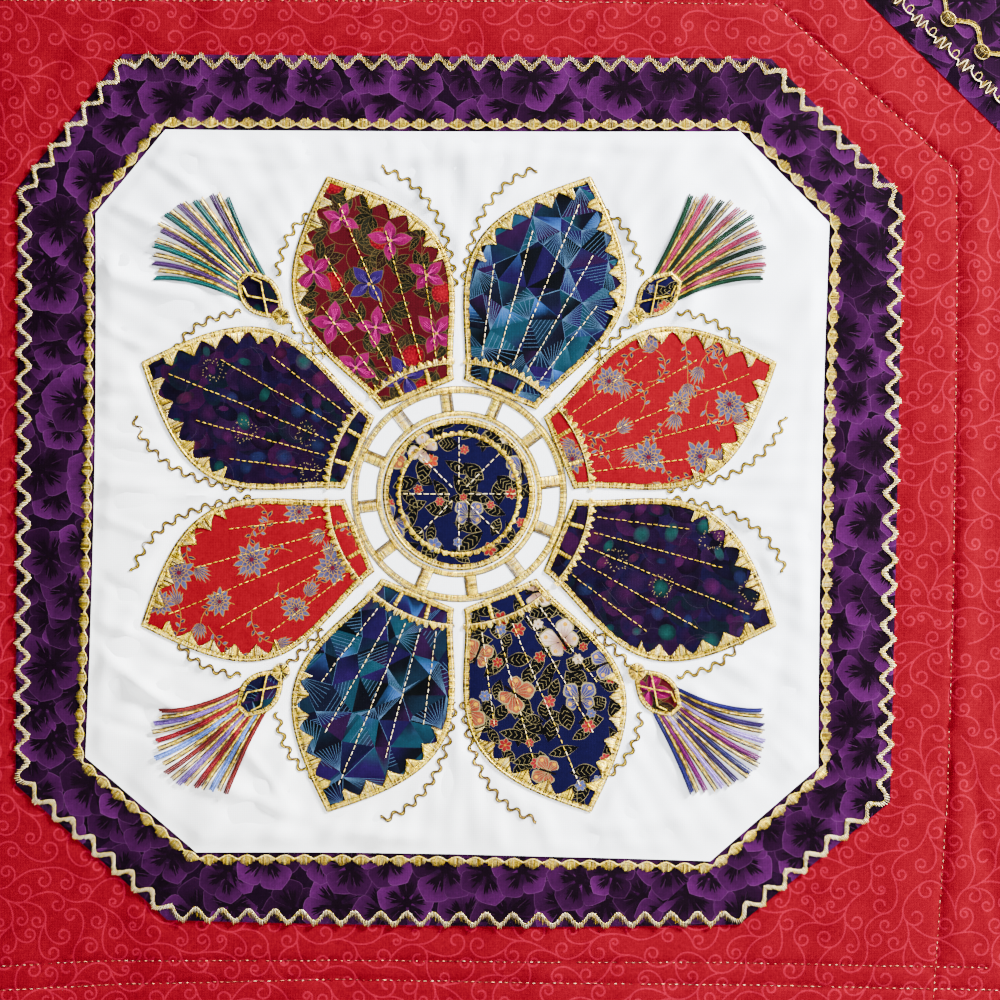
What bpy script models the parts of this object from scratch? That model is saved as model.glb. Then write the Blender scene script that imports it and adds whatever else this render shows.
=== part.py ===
"""Embroidered wall hanging: a quilted ground with an eight-sided frame, a panel and appliqué petals.

Metres, +Z up. The cloth hangs in the XZ plane against a wall at y = 0 and faces -Y.
The origin is the middle of the top edge.
"""
import math
from collections import namedtuple

import bpy
from mathutils import Vector
from mathutils.geometry import delaunay_2d_cdt

# The ground, a quilted sheet
GROUND_WIDTH = 0.540
GROUND_HEIGHT = 0.540
GROUND_THICKNESS = 0.0030
HEM_THICKNESS = 0.0016          # at the turned edge
HEM_ROLL = 0.004                # how far in from the edge the cloth reaches its full thickness
EDGE_WOBBLE = 0.0012            # how far the hand-cut edge wanders
WOBBLE_TURNS = 2.3              # how often it wanders along one side
EDGE_STEPS = 28

# How the cloth hangs
FLAT_SHARE = 0.33               # upper share of the height that lies flat on the wall
Wave = namedtuple("Wave", "height length phase lean")
WAVES = [
    Wave(height=0.0011, length=0.31, phase=0.6, lean=1.2),
    Wave(height=0.0007, length=0.17, phase=2.1, lean=-2.0),
]
LUMPS = [                       # small unevenness of the wadding
    Wave(height=0.00016, length=0.083, phase=0.4, lean=7.0),
    Wave(height=0.00012, length=0.061, phase=1.9, lean=-9.0),
]

# Applied cloth
GAP = 0.0003                    # between one layer and the next, and between neighbours
FRAME_BED = 0.0006              # how much thinner the ground is where the frame and panel lie
BED_EDGE = 0.001                # the bed reaches this far past the frame
BED_SLOPE = 0.008               # and rises to the ground over this width
STRIP_THICKNESS = 0.0009
STRIP_CROWN = 0.0007            # extra height along the middle of a strip
CROWN_RISE = 2.2                # the crown is full at 1 / 2.2 of the width from the edge
PANEL_THICKNESS = 0.0010
PETAL_THICKNESS = 0.0008
PETAL_CROWN = 0.0004

# The frame's corners, clockwise from the left end of the top edge
Corner = namedtuple("Corner", "outer_x outer_z inner_x inner_z")
CORNERS = [
    Corner(outer_x=-0.1890, outer_z=-0.0465, inner_x=-0.1675, inner_z=-0.0845),
    Corner(outer_x=0.1360, outer_z=-0.0488, inner_x=0.1203, inner_z=-0.0855),
    Corner(outer_x=0.2018, outer_z=-0.1175, inner_x=0.1650, inner_z=-0.1313),
    Corner(outer_x=0.1953, outer_z=-0.4210, inner_x=0.1593, inner_z=-0.4040),
    Corner(outer_x=0.1198, outer_z=-0.4828, inner_x=0.1053, inner_z=-0.4508),
    Corner(outer_x=-0.1665, outer_z=-0.4803, inner_x=-0.1520, inner_z=-0.4463),
    Corner(outer_x=-0.2425, outer_z=-0.4125, inner_x=-0.2075, inner_z=-0.3988),
    Corner(outer_x=-0.2415, outer_z=-0.1135, inner_x=-0.2025, inner_z=-0.1265),
]

# The frame's strips, from each corner to the next. A bow is how far the middle of an edge
# stands out from the straight line between its corners.
Strip = namedtuple("Strip", "name outer_bow inner_bow")
STRIPS = [
    Strip(name="frame_top", outer_bow=0.0, inner_bow=-0.0005),
    Strip(name="frame_upper_right", outer_bow=0.0, inner_bow=0.0),
    Strip(name="frame_right", outer_bow=0.0005, inner_bow=-0.0013),
    Strip(name="frame_lower_right", outer_bow=0.0, inner_bow=0.0),
    Strip(name="frame_bottom", outer_bow=0.0015, inner_bow=-0.0015),
    Strip(name="frame_lower_left", outer_bow=0.0, inner_bow=0.0),
    Strip(name="frame_left", outer_bow=0.0, inner_bow=-0.0019),
    Strip(name="frame_upper_left", outer_bow=0.0, inner_bow=0.0),
]

# The patch at the top right corner of the ground
PATCH_TOP_X = 0.1687            # where its long edge meets its top edge
PATCH_SIDE_Z = -0.0998          # and its side edge
PATCH_MARGIN = 0.005            # from the ground's edges

# Quilting lines, as x and z along each line
Point = namedtuple("Point", "x z")
ECHO_LINE = [
    Point(x=-0.262, z=-0.0195),
    Point(x=0.018, z=-0.0200),
    Point(x=0.138, z=-0.0215),
    Point(x=0.229, z=-0.1050),
    Point(x=0.229, z=-0.1700),
    Point(x=0.227, z=-0.3200),
    Point(x=0.224, z=-0.4200),
    Point(x=0.216, z=-0.5320),
]
UPPER_FOOT_LINE = [
    Point(x=-0.262, z=-0.5040),
    Point(x=-0.200, z=-0.5010),
    Point(x=-0.083, z=-0.5005),
    Point(x=0.083, z=-0.5015),
    Point(x=0.243, z=-0.5040),
]
LOWER_FOOT_LINE = [
    Point(x=-0.262, z=-0.5160),
    Point(x=-0.185, z=-0.5125),
    Point(x=-0.083, z=-0.5100),
    Point(x=0.083, z=-0.5125),
    Point(x=0.262, z=-0.5155),
]
QUILTING_LINES = [ECHO_LINE, UPPER_FOOT_LINE, LOWER_FOOT_LINE]
TROUGH_DEPTH = 0.0011
TROUGH_HALF_WIDTH = 0.0036

# The soft folds right of the echo line: positive heights are ridges, negative ones creases
Fold = namedtuple("Fold", "start_x start_z end_x end_z height half_width")
FOLDS = [
    Fold(start_x=0.240, start_z=-0.125, end_x=0.2285, end_z=-0.490, height=0.0010, half_width=0.009),
    Fold(start_x=0.231, start_z=-0.390, end_x=0.259, end_z=-0.525, height=-0.0009, half_width=0.007),
]

# The appliqué rosette
HUB_X = -0.0205
HUB_Z = -0.267
HUB_RADIUS = 0.038
HUB_STEPS = 40
PETAL_COUNT = 8
PETAL_TURN = math.radians(112.5)    # direction of the first petal, the others follow clockwise
PETAL_START = 0.054                 # from the hub's centre
PETAL_TIP = 0.172
PETAL_BASE_HALF_WIDTH = 0.0195
PETAL_BULGE = 0.031
PETAL_LEAN = 1.2                    # above 1 moves the widest place outward
PETAL_STEPS = 10
SPINE_START = 0.06                  # the crease along a petal, as shares of its length
SPINE_END = 0.90

# The buds between the petals
BUD_COUNT = 4
BUD_TURN = math.radians(135.0)      # direction of the first bud, the others follow clockwise
BUD_START = 0.128
BUD_TIP = 0.154
BUD_HALF_WIDTH = 0.0095
BUD_BLUNT_START = 0.12              # part of a half turn left off at the base
BUD_ROUND_SHARE = 0.76              # and the part that its sides follow
BUD_STEPS = 6

# Mesh spacing
GROUND_SPACING = 0.019
BACK_SPACING = 0.030
PIECE_SPACING = 0.016
SIDE_STRIP_STEPS = 14
CORNER_STRIP_STEPS = 4
SEAM_STEPS = 2
MIDDLE_STEPS = 10

Finish = namedtuple("Finish", "name color roughness")
RED_COTTON = Finish("red_cotton", (0.60, 0.010, 0.030), 0.85)
PURPLE_COTTON = Finish("purple_cotton", (0.045, 0.008, 0.10), 0.85)
WHITE_COTTON = Finish("white_cotton", (0.88, 0.88, 0.90), 0.9)
NAVY_PRINT = Finish("navy_print", (0.010, 0.016, 0.10), 0.85)
MAROON_PRINT = Finish("maroon_print", (0.16, 0.008, 0.020), 0.85)
TEAL_PRINT = Finish("teal_print", (0.010, 0.075, 0.13), 0.85)
SCARLET_PRINT = Finish("scarlet_print", (0.62, 0.014, 0.022), 0.85)
PLUM_PRINT = Finish("plum_print", (0.050, 0.012, 0.10), 0.85)
PETAL_FINISHES = [
    MAROON_PRINT, TEAL_PRINT, SCARLET_PRINT, PLUM_PRINT,
    NAVY_PRINT, TEAL_PRINT, SCARLET_PRINT, PLUM_PRINT,
]
BUD_FINISHES = [PLUM_PRINT, NAVY_PRINT, MAROON_PRINT, TEAL_PRINT]


def clear_scene():
    for thing in list(bpy.data.objects):
        bpy.data.objects.remove(thing, do_unlink=True)


def make_material(finish):
    material = bpy.data.materials.get(finish.name)
    if material is None:
        material = bpy.data.materials.new(finish.name)
        material.use_nodes = True
        shader = material.node_tree.nodes["Principled BSDF"]
        shader.inputs["Base Color"].default_value = (*finish.color, 1.0)
        shader.inputs["Roughness"].default_value = finish.roughness
        shader.inputs["Metallic"].default_value = 0.0
    return material


def smooth(t):
    t = min(max(t, 0.0), 1.0)
    return t * t * (3.0 - 2.0 * t)


def segment_distance(point, start, end):
    along = end - start
    t = min(max((point - start).dot(along) / along.length_squared, 0.0), 1.0)
    return (start + along * t - point).length


def line_distance(point, line):
    return min(segment_distance(point, a, b) for a, b in zip(line, line[1:]))


def is_inside(point, outline):
    inside = False
    for a, b in zip(outline, outline[1:] + outline[:1]):
        if (a.y > point.y) != (b.y > point.y):
            crossing = a.x + (point.y - a.y) / (b.y - a.y) * (b.x - a.x)
            if point.x < crossing:
                inside = not inside
    return inside


def crossing_point(a, b, c, d):
    """Where the line through a and b meets the line through c and d, as a share of c to d."""
    first = b - a
    second = d - c
    return (c - a).cross(first) / first.cross(second)


def counter_clockwise(outline):
    area = sum(a.cross(b) for a, b in zip(outline, outline[1:] + outline[:1]))
    return outline if area > 0 else outline[::-1]


def inset(outline, distance):
    """The outline drawn in by a distance on every side."""
    outline = counter_clockwise(outline)
    result = []
    for before, here, after in zip(outline[-1:] + outline, outline, outline[1:] + outline[:1]):
        first = (here - before).normalized()
        second = (after - here).normalized()
        first_normal = Vector((-first.y, first.x))
        second_normal = Vector((-second.y, second.x))
        middle = (first_normal + second_normal).normalized()
        result.append(here + middle * distance / middle.dot(first_normal))
    return result


def divided(line, spacing):
    """The same line with points no further apart than the spacing."""
    result = [line[0]]
    for a, b in zip(line, line[1:]):
        count = max(1, math.ceil((b - a).length / spacing))
        result += [a.lerp(b, i / count) for i in range(1, count + 1)]
    return result


def as_vectors(points):
    return [Vector((p.x, p.z)) for p in points]


# The frame's edges

def corner(index, side):
    c = CORNERS[index % len(CORNERS)]
    return Vector((c.outer_x, c.outer_z)) if side == "outer" else Vector((c.inner_x, c.inner_z))


def edge_point(index, side, t):
    """A point on a strip's outer or inner edge, t of the way from its corner to the next."""
    start = corner(index, side)
    end = corner(index + 1, side)
    strip = STRIPS[index % len(STRIPS)]
    bow = strip.outer_bow if side == "outer" else strip.inner_bow
    along = (end - start).normalized()
    outward = Vector((-along.y, along.x))
    return start.lerp(end, t) + outward * bow * 4.0 * t * (1.0 - t)


def edge(index, side, start=0.0, end=1.0, steps=8):
    return [edge_point(index, side, start + (end - start) * i / steps) for i in range(steps + 1)]


def closed_edge(side):
    points = []
    for index in range(len(CORNERS)):
        points += edge(index, side)[:-1]
    return points


def seam_share(corner_strip, neighbour):
    """Where a corner strip's inner edge, carried on, meets its neighbour's outer edge."""
    return crossing_point(
        corner(corner_strip, "inner"), corner(corner_strip + 1, "inner"),
        corner(neighbour, "outer"), corner(neighbour + 1, "outer"))


def strip_outline(index):
    """Side strips have slanted ends; corner strips lie over them up to the line of their inner edge."""
    if index % 2 == 0:
        first = seam_share(index - 1, index)
        last = seam_share(index + 1, index)
        outer = edge(index, "outer", first, last, steps=SIDE_STRIP_STEPS)
        inner = edge(index, "inner", steps=SIDE_STRIP_STEPS)
        return outer + inner[::-1]
    before = seam_share(index, index - 1)
    after = seam_share(index, index + 1)
    leading = edge(index - 1, "outer", before, 1.0, steps=SEAM_STEPS)
    trailing = edge(index + 1, "outer", 0.0, after, steps=SEAM_STEPS)
    inner = edge(index, "inner", steps=CORNER_STRIP_STEPS)
    return leading + trailing + inner[::-1]


FRAME_OUTLINE = closed_edge("outer")
PANEL_OUTLINE = closed_edge("inner")
QUILTING = [as_vectors(line) for line in QUILTING_LINES]


# Heights, measured from the wall

def lift(x, z):
    """How far the back of the cloth stands off the wall."""
    depth = -z / GROUND_HEIGHT
    grown = smooth((depth - FLAT_SHARE) / (1.0 - FLAT_SHARE))
    return grown * sum(
        w.height * (1.0 + math.sin(2.0 * math.pi * x / w.length + w.phase + w.lean * depth))
        for w in WAVES)


def lumps(x, z):
    depth = -z / GROUND_HEIGHT
    return sum(
        w.height * math.sin(2.0 * math.pi * x / w.length + w.phase + w.lean * depth)
        for w in LUMPS)


def bed(point):
    """The ground is thinner under the frame and rises around it."""
    distance = line_distance(point, FRAME_OUTLINE + FRAME_OUTLINE[:1])
    if is_inside(point, FRAME_OUTLINE):
        return FRAME_BED
    return FRAME_BED * (1.0 - smooth((distance - BED_EDGE) / BED_SLOPE))


def trough(point):
    distance = min(line_distance(point, line) for line in QUILTING)
    return TROUGH_DEPTH * (1.0 - smooth(distance / TROUGH_HALF_WIDTH))


def folds(point):
    total = 0.0
    for fold in FOLDS:
        start = Vector((fold.start_x, fold.start_z))
        end = Vector((fold.end_x, fold.end_z))
        distance = segment_distance(point, start, end)
        total += fold.height * (1.0 - smooth(distance / fold.half_width))
    return total


def applied_bed(x, z):
    """The ground's front where the frame and the panel lie."""
    return lift(x, z) + GROUND_THICKNESS - FRAME_BED + lumps(x, z)


def ground_front(x, z):
    point = Vector((x, z))
    if is_inside(point, FRAME_OUTLINE):
        return applied_bed(x, z)
    edge_distance = min(GROUND_WIDTH / 2 - abs(x), -z, GROUND_HEIGHT + z)
    roll = (GROUND_THICKNESS - HEM_THICKNESS) * (1.0 - min(max(edge_distance / HEM_ROLL, 0.0), 1.0))
    height = GROUND_THICKNESS + lumps(x, z) + folds(point) - bed(point) - trough(point)
    return lift(x, z) + max(height - roll, HEM_THICKNESS)


def panel_front(x, z):
    return applied_bed(x, z) + GAP + PANEL_THICKNESS


# Cloth solids

def triangulate(outline, creases, spacing):
    """Triangles inside an outline, with edges along its creases and a grid of points between."""
    points = list(outline)
    edges = []
    for crease in creases:
        first = len(points)
        points += crease
        edges += [(i, i + 1) for i in range(first, len(points) - 1)]
    lines = [outline + outline[:1]] + creases
    low_x = min(p.x for p in outline)
    low_z = min(p.y for p in outline)
    columns = math.ceil((max(p.x for p in outline) - low_x) / spacing)
    rows = math.ceil((max(p.y for p in outline) - low_z) / spacing)
    for row in range(1, rows):
        for column in range(columns):
            stagger = 0.5 if row % 2 else 0.0
            point = Vector((low_x + (column + stagger) * spacing, low_z + row * spacing))
            is_clear = all(line_distance(point, line) > 0.5 * spacing for line in lines)
            if is_clear and is_inside(point, outline):
                points.append(point)
    face = list(range(len(outline)))
    verts, _, faces, from_points, _, _ = delaunay_2d_cdt(points, edges, [face], 1, 1e-7)
    place = {}
    for new, olds in enumerate(from_points):
        for old in olds:
            place[old] = new
    return verts, faces, [place[i] for i in range(len(outline))]


def cloth_solid(name, outline, back, front, finish, creases=(), spacing=PIECE_SPACING,
                back_spacing=PIECE_SPACING):
    """A closed sheet between two heights over one outline."""
    outline = counter_clockwise(outline)
    front_points, front_faces, front_rim = triangulate(outline, list(creases), spacing)
    back_points, back_faces, back_rim = triangulate(outline, [], back_spacing)
    verts = [(p.x, -front(p.x, p.y), p.y) for p in front_points]
    shift = len(verts)
    verts += [(p.x, -back(p.x, p.y), p.y) for p in back_points]
    faces = [list(f) for f in front_faces]
    faces += [[i + shift for i in reversed(f)] for f in back_faces]
    count = len(outline)
    for i in range(count):
        j = (i + 1) % count
        faces.append([front_rim[i], back_rim[i] + shift, back_rim[j] + shift, front_rim[j]])
    mesh = bpy.data.meshes.new(name)
    mesh.from_pydata(verts, [], faces)
    mesh.validate()
    mesh.shade_smooth()
    mesh.set_sharp_from_angle(angle=math.radians(40))
    solid = bpy.data.objects.new(name, mesh)
    solid.data.materials.append(make_material(finish))
    bpy.context.scene.collection.objects.link(solid)
    return solid


def wobbled(start, end, count):
    """A hand-cut edge between two corners, which keep their places."""
    points = []
    along = (end - start).normalized()
    outward = Vector((along.y, -along.x))
    for i in range(count):
        t = i / count
        turn = WOBBLE_TURNS * t + start.x + 3.0 * start.y
        swing = math.sin(math.pi * t) * math.sin(2.0 * math.pi * turn)
        points.append(start.lerp(end, t) + outward * EDGE_WOBBLE * swing)
    return points


def shoulders(line, distance):
    """Lines on both sides of a line, kept at a distance."""
    sides = ([], [])
    for i, here in enumerate(line):
        before = line[max(i - 1, 0)]
        after = line[min(i + 1, len(line) - 1)]
        along = (after - before).normalized()
        across = Vector((-along.y, along.x))
        sides[0].append(here + across * distance)
        sides[1].append(here - across * distance)
    return sides


def make_ground():
    half = GROUND_WIDTH / 2
    corners = [
        Vector((-half, -GROUND_HEIGHT)), Vector((half, -GROUND_HEIGHT)), Vector((half, 0.0)),
        Vector((-half, 0.0))]
    outline = []
    for index, start in enumerate(corners):
        end = corners[(index + 1) % 4]
        if index == 2:
            outline += divided([start, end], GROUND_SPACING)[:-1]
        else:
            outline += wobbled(start, end, EDGE_STEPS)
    creases = [divided(loop + loop[:1], GROUND_SPACING) for loop in (
        inset(outline, HEM_ROLL + EDGE_WOBBLE),
        inset(FRAME_OUTLINE, -BED_EDGE),
        inset(FRAME_OUTLINE, -BED_EDGE - BED_SLOPE))]
    for line in QUILTING:
        fine = divided(line, GROUND_SPACING)
        creases.append(fine)
        creases += shoulders(fine, TROUGH_HALF_WIDTH)
    for fold in FOLDS:
        start = Vector((fold.start_x, fold.start_z))
        end = Vector((fold.end_x, fold.end_z))
        creases.append(divided([start, end], GROUND_SPACING))
    return cloth_solid(
        "ground", outline, lift, ground_front, RED_COTTON, creases, GROUND_SPACING, BACK_SPACING)


def make_strip(index):
    outline = inset(strip_outline(index), GAP / 2)
    closed = outline + outline[:1]
    width = (corner(index, "outer") - corner(index, "inner")).length
    middle = [
        edge_point(index, "outer", t).lerp(edge_point(index, "inner", t), 0.5)
        for t in (i / MIDDLE_STEPS for i in range(MIDDLE_STEPS + 1))]

    def back(x, z):
        return applied_bed(x, z) + GAP

    def front(x, z):
        inward = line_distance(Vector((x, z)), closed)
        return back(x, z) + STRIP_THICKNESS + STRIP_CROWN * smooth(CROWN_RISE * inward / width)

    crease = [
        p for p in divided(middle, PIECE_SPACING)
        if is_inside(p, outline) and line_distance(p, closed) > 0.3 * PIECE_SPACING]
    return cloth_solid(STRIPS[index].name, outline, back, front, PURPLE_COTTON, [crease])


def make_panel():
    def back(x, z):
        return applied_bed(x, z) + GAP

    outline = inset(PANEL_OUTLINE, GAP)
    return cloth_solid(
        "panel", outline, back, panel_front, WHITE_COTTON, (), GROUND_SPACING, GROUND_SPACING)


def make_patch():
    right = GROUND_WIDTH / 2 - PATCH_MARGIN
    corners = [
        Vector((PATCH_TOP_X, -PATCH_MARGIN)), Vector((right, PATCH_SIDE_Z)),
        Vector((right, -PATCH_MARGIN))]
    outline = divided(corners + corners[:1], PIECE_SPACING)[:-1]

    def back(x, z):
        return lift(x, z) + GROUND_THICKNESS + lumps(x, z) + GAP

    def front(x, z):
        return back(x, z) + STRIP_THICKNESS

    return cloth_solid("corner_patch", outline, back, front, PURPLE_COTTON)


def petal_half_width(share):
    """Half the petal's width, a share of the way from its base to its tip."""
    bulge = PETAL_BULGE * math.sin(math.pi * share ** PETAL_LEAN)
    return PETAL_BASE_HALF_WIDTH * (1.0 - share) + bulge


def bud_half_width(share):
    return BUD_HALF_WIDTH * math.sin(math.pi * (BUD_BLUNT_START + BUD_ROUND_SHARE * share))


def leaf_solid(name, finish, angle, start, tip, half_width, steps):
    """A printed piece that points away from the hub, with a half width for each share of its length."""
    along = Vector((math.cos(angle), math.sin(angle)))
    across = Vector((-along.y, along.x))
    hub = Vector((HUB_X, HUB_Z))

    def place(share, side):
        reach = start + (tip - start) * share
        return hub + along * reach + across * side * half_width(share)

    shares = [i / steps for i in range(steps + 1)]
    right_side = [place(s, -1.0) for s in shares]
    left_side = [place(s, 1.0) for s in reversed(shares)]
    if half_width(1.0) < GAP:
        left_side = left_side[1:]
    outline = divided(right_side + left_side + right_side[:1], PIECE_SPACING)[:-1]
    closed = outline + outline[:1]
    spine = divided([place(SPINE_START, 0.0), place(SPINE_END, 0.0)], PIECE_SPACING)

    def back(x, z):
        return panel_front(x, z) + GAP

    def front(x, z):
        inward = line_distance(Vector((x, z)), closed)
        crown = PETAL_CROWN * smooth(inward / PETAL_BASE_HALF_WIDTH)
        return back(x, z) + PETAL_THICKNESS + crown

    return cloth_solid(name, outline, back, front, finish, [spine])


def make_petal(index):
    angle = PETAL_TURN - index * 2.0 * math.pi / PETAL_COUNT
    return leaf_solid(
        f"petal_{index + 1}", PETAL_FINISHES[index], angle, PETAL_START, PETAL_TIP,
        petal_half_width, PETAL_STEPS)


def make_bud(index):
    angle = BUD_TURN - index * 2.0 * math.pi / BUD_COUNT
    return leaf_solid(
        f"bud_{index + 1}", BUD_FINISHES[index], angle, BUD_START, BUD_TIP,
        bud_half_width, BUD_STEPS)


def make_hub():
    hub = Vector((HUB_X, HUB_Z))
    outline = [
        hub + HUB_RADIUS * Vector((math.cos(a), math.sin(a)))
        for a in (2.0 * math.pi * i / HUB_STEPS for i in range(HUB_STEPS))]

    def back(x, z):
        return panel_front(x, z) + GAP

    def front(x, z):
        inward = HUB_RADIUS - (Vector((x, z)) - hub).length
        crown = PETAL_CROWN * smooth(inward / PETAL_BASE_HALF_WIDTH)
        return back(x, z) + PETAL_THICKNESS + crown

    return cloth_solid("hub", outline, back, front, NAVY_PRINT)


clear_scene()
make_ground()
for strip in range(len(STRIPS)):
    make_strip(strip)
make_panel()
make_patch()
for petal in range(PETAL_COUNT):
    make_petal(petal)
for bud in range(BUD_COUNT):
    make_bud(bud)
make_hub()
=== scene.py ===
"""Embroidered wall hanging: its cloth, prints and thread work, dressed over the fixed solids."""
import math
import random
from collections import namedtuple

import bpy
import numpy as np
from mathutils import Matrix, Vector
from mathutils.bvhtree import BVHTree
from mathutils.geometry import delaunay_2d_cdt


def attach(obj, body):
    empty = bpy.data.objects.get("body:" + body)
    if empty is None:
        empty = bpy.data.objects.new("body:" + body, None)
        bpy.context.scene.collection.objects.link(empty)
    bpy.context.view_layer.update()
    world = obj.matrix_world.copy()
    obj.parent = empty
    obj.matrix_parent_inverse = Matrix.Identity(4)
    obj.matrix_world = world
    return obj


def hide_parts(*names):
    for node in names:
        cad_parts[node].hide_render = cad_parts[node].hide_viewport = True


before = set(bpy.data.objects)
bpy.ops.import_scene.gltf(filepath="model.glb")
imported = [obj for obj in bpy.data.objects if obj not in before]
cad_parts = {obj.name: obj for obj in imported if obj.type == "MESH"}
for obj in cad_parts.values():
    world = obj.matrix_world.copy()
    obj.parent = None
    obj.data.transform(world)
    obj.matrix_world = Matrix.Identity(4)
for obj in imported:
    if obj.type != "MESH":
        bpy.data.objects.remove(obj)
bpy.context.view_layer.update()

BODY = "root"
TAU = 2.0 * math.pi
MM = 0.001

# Sizes

GROUND_WIDTH = 0.540
GROUND_HEIGHT = 0.540
GROUND_THICKNESS = 3.0 * MM
HEM_THICKNESS = 1.6 * MM
HEM_ROLL = 4.0 * MM
EDGE_WOBBLE = 1.2 * MM

FLAT_SHARE = 0.33               # the share of the height, from the top, that lies on the wall

# The waves off the wall, and the soft lumps of the filling
Wave = namedtuple("Wave", "height length phase lean")
WAVES = [Wave(1.1 * MM, 0.31, 0.6, 1.2), Wave(0.7 * MM, 0.17, 2.1, -2.0)]
LUMPS = [Wave(0.16 * MM, 0.083, 0.4, 7.0), Wave(0.12 * MM, 0.061, 1.9, -9.0)]

FRAME_BED = 0.6 * MM
BED_EDGE = 1.0 * MM
BED_SLOPE = 8.0 * MM
LAYER_GAP = 0.3 * MM
STRIP_THICKNESS = 0.9 * MM
STRIP_CROWN = 0.7 * MM
PANEL_THICKNESS = 1.0 * MM
PANEL_PUFF = 1.5 * MM           # how far its loose parts stand out
PANEL_FLOOR = 0.8 * MM
PETAL_THICKNESS = 0.8 * MM
PETAL_CROWN = 0.4 * MM
SEAM = 0.05 * MM                # how far a cloth's edge stays inside its outline
PIECE_SHEET = 0.6 * MM          # how thick a sewn-on cloth is as a sheet
LEAK_AREA = 20 * MM * MM

# The frame's corners, clockwise from the upper left
CORNERS = {
    "outer": [
        (-0.1890, -0.0465), (0.1360, -0.0488), (0.2018, -0.1175), (0.1953, -0.4210),
        (0.1198, -0.4828), (-0.1665, -0.4803), (-0.2425, -0.4125), (-0.2415, -0.1135)],
    "inner": [
        (-0.1675, -0.0845), (0.1203, -0.0855), (0.1650, -0.1313), (0.1593, -0.4040),
        (0.1053, -0.4508), (-0.1520, -0.4463), (-0.2075, -0.3988), (-0.2025, -0.1265)],
}
# The strips between them, and how far some of their edges bow outward
STRIPS = [
    "frame_top", "frame_upper_right", "frame_right", "frame_lower_right", "frame_bottom",
    "frame_lower_left", "frame_left", "frame_upper_left"]
BOWS = {
    "outer": {"frame_right": 0.5 * MM, "frame_bottom": 1.5 * MM},
    "inner": {
        "frame_top": -0.5 * MM, "frame_right": -1.3 * MM, "frame_bottom": -1.5 * MM,
        "frame_left": -1.9 * MM},
}

PATCH_TOP_X = 0.1687
PATCH_SIDE_Z = -0.0998
PATCH_MARGIN = 5.0 * MM

# Rows of quilting: one beside the frame, and two along the foot
ECHO_LINE = [
    (-0.262, -0.0195), (0.018, -0.0200), (0.138, -0.0215), (0.229, -0.1050), (0.229, -0.1700),
    (0.227, -0.3200), (0.224, -0.4200), (0.216, -0.5320)]
UPPER_FOOT_LINE = [
    (-0.262, -0.5040), (-0.200, -0.5010), (-0.083, -0.5005), (0.083, -0.5015), (0.243, -0.5040)]
LOWER_FOOT_LINE = [
    (-0.262, -0.5160), (-0.185, -0.5125), (-0.083, -0.5100), (0.083, -0.5125), (0.262, -0.5155)]
TROUGH_DEPTH = 0.55 * MM
TROUGH_HALF_WIDTH = 3.6 * MM
DITCH_DEPTH = 0.4 * MM
DITCH_HALF_WIDTH = 1.3 * MM
# Folds beside the rows of quilting: start, end, height and half width
FOLDS = [
    ((0.240, -0.125), (0.2285, -0.490), 1.0 * MM, 9 * MM),
    ((0.231, -0.390), (0.259, -0.525), -0.9 * MM, 7 * MM)]

HUB = Vector((-0.0205, -0.267))
HUB_RADIUS = 38 * MM
PETAL_COUNT = 8
PETAL_TURN = math.radians(112.5)
PETAL_START = 54 * MM
PETAL_TIP = 172 * MM
PETAL_BASE_HALF_WIDTH = 19.5 * MM
PETAL_BULGE = 31 * MM
PETAL_LEAN = 1.2
BUD_COUNT = 4
BUD_TURN = math.radians(135.0)
BUD_START = 128 * MM
BUD_TIP = 154 * MM
BUD_HALF_WIDTH = 9.5 * MM

# Stitches and printing
BACK_SPACING = 12 * MM          # between the points of a cloth's reverse
THREAD = 0.285 * MM             # half the width that one thread covers
SATIN_PITCH = 0.58 * MM
PRINT_TOLERANCE = 0.04 * MM     # how far the edge of a printed shape may move
LONGEST_SKIP = 12               # the most edges in a row that one straight edge replaces

rng = random.Random(11478)


def linear(code):
    """An sRGB hex value as linear red, green and blue."""
    values = [int(code[i:i + 2], 16) / 255.0 for i in (1, 3, 5)]
    return tuple(v / 12.92 if v <= 0.04045 else ((v + 0.055) / 1.055) ** 2.4 for v in values)


def inks(*codes):
    return [linear(code) for code in codes]


def smooth(t):
    t = np.clip(t, 0.0, 1.0)
    return t * t * (3.0 - 2.0 * t)


# Lines and outlines in the plane of the cloth

def left_of(along):
    return Vector((-along.y, along.x))


def right_of(along):
    return Vector((along.y, -along.x))


def line_distance(x, z, line):
    """The distance from each point to a line of points."""
    best = np.full(np.shape(x), np.inf)
    for a, b in zip(line, line[1:]):
        dx, dz = b[0] - a[0], b[1] - a[1]
        length = dx * dx + dz * dz
        t = np.clip(((x - a[0]) * dx + (z - a[1]) * dz) / length, 0.0, 1.0)
        best = np.minimum(best, (x - a[0] - t * dx) ** 2 + (z - a[1] - t * dz) ** 2)
    return np.sqrt(best)


def rim_distance(x, z, outline):
    return line_distance(x, z, outline + outline[:1])


def is_inside(x, z, outline):
    inside = np.zeros(np.shape(x), dtype=bool)
    for a, b in zip(outline, outline[1:] + outline[:1]):
        if a[1] == b[1]:
            continue
        spans = (a[1] > z) != (b[1] > z)
        inside ^= spans & (x < a[0] + (z - a[1]) / (b[1] - a[1]) * (b[0] - a[0]))
    return inside


def crossing_share(a, b, c, d):
    """Where a line through a and b crosses the one from c to d, as a share of the latter."""
    first = b - a
    second = d - c
    return (c - a).cross(first) / first.cross(second)


def counter_clockwise(outline):
    area = sum(a.cross(b) for a, b in zip(outline, outline[1:] + outline[:1]))
    return list(outline) if area > 0 else list(outline)[::-1]


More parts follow.
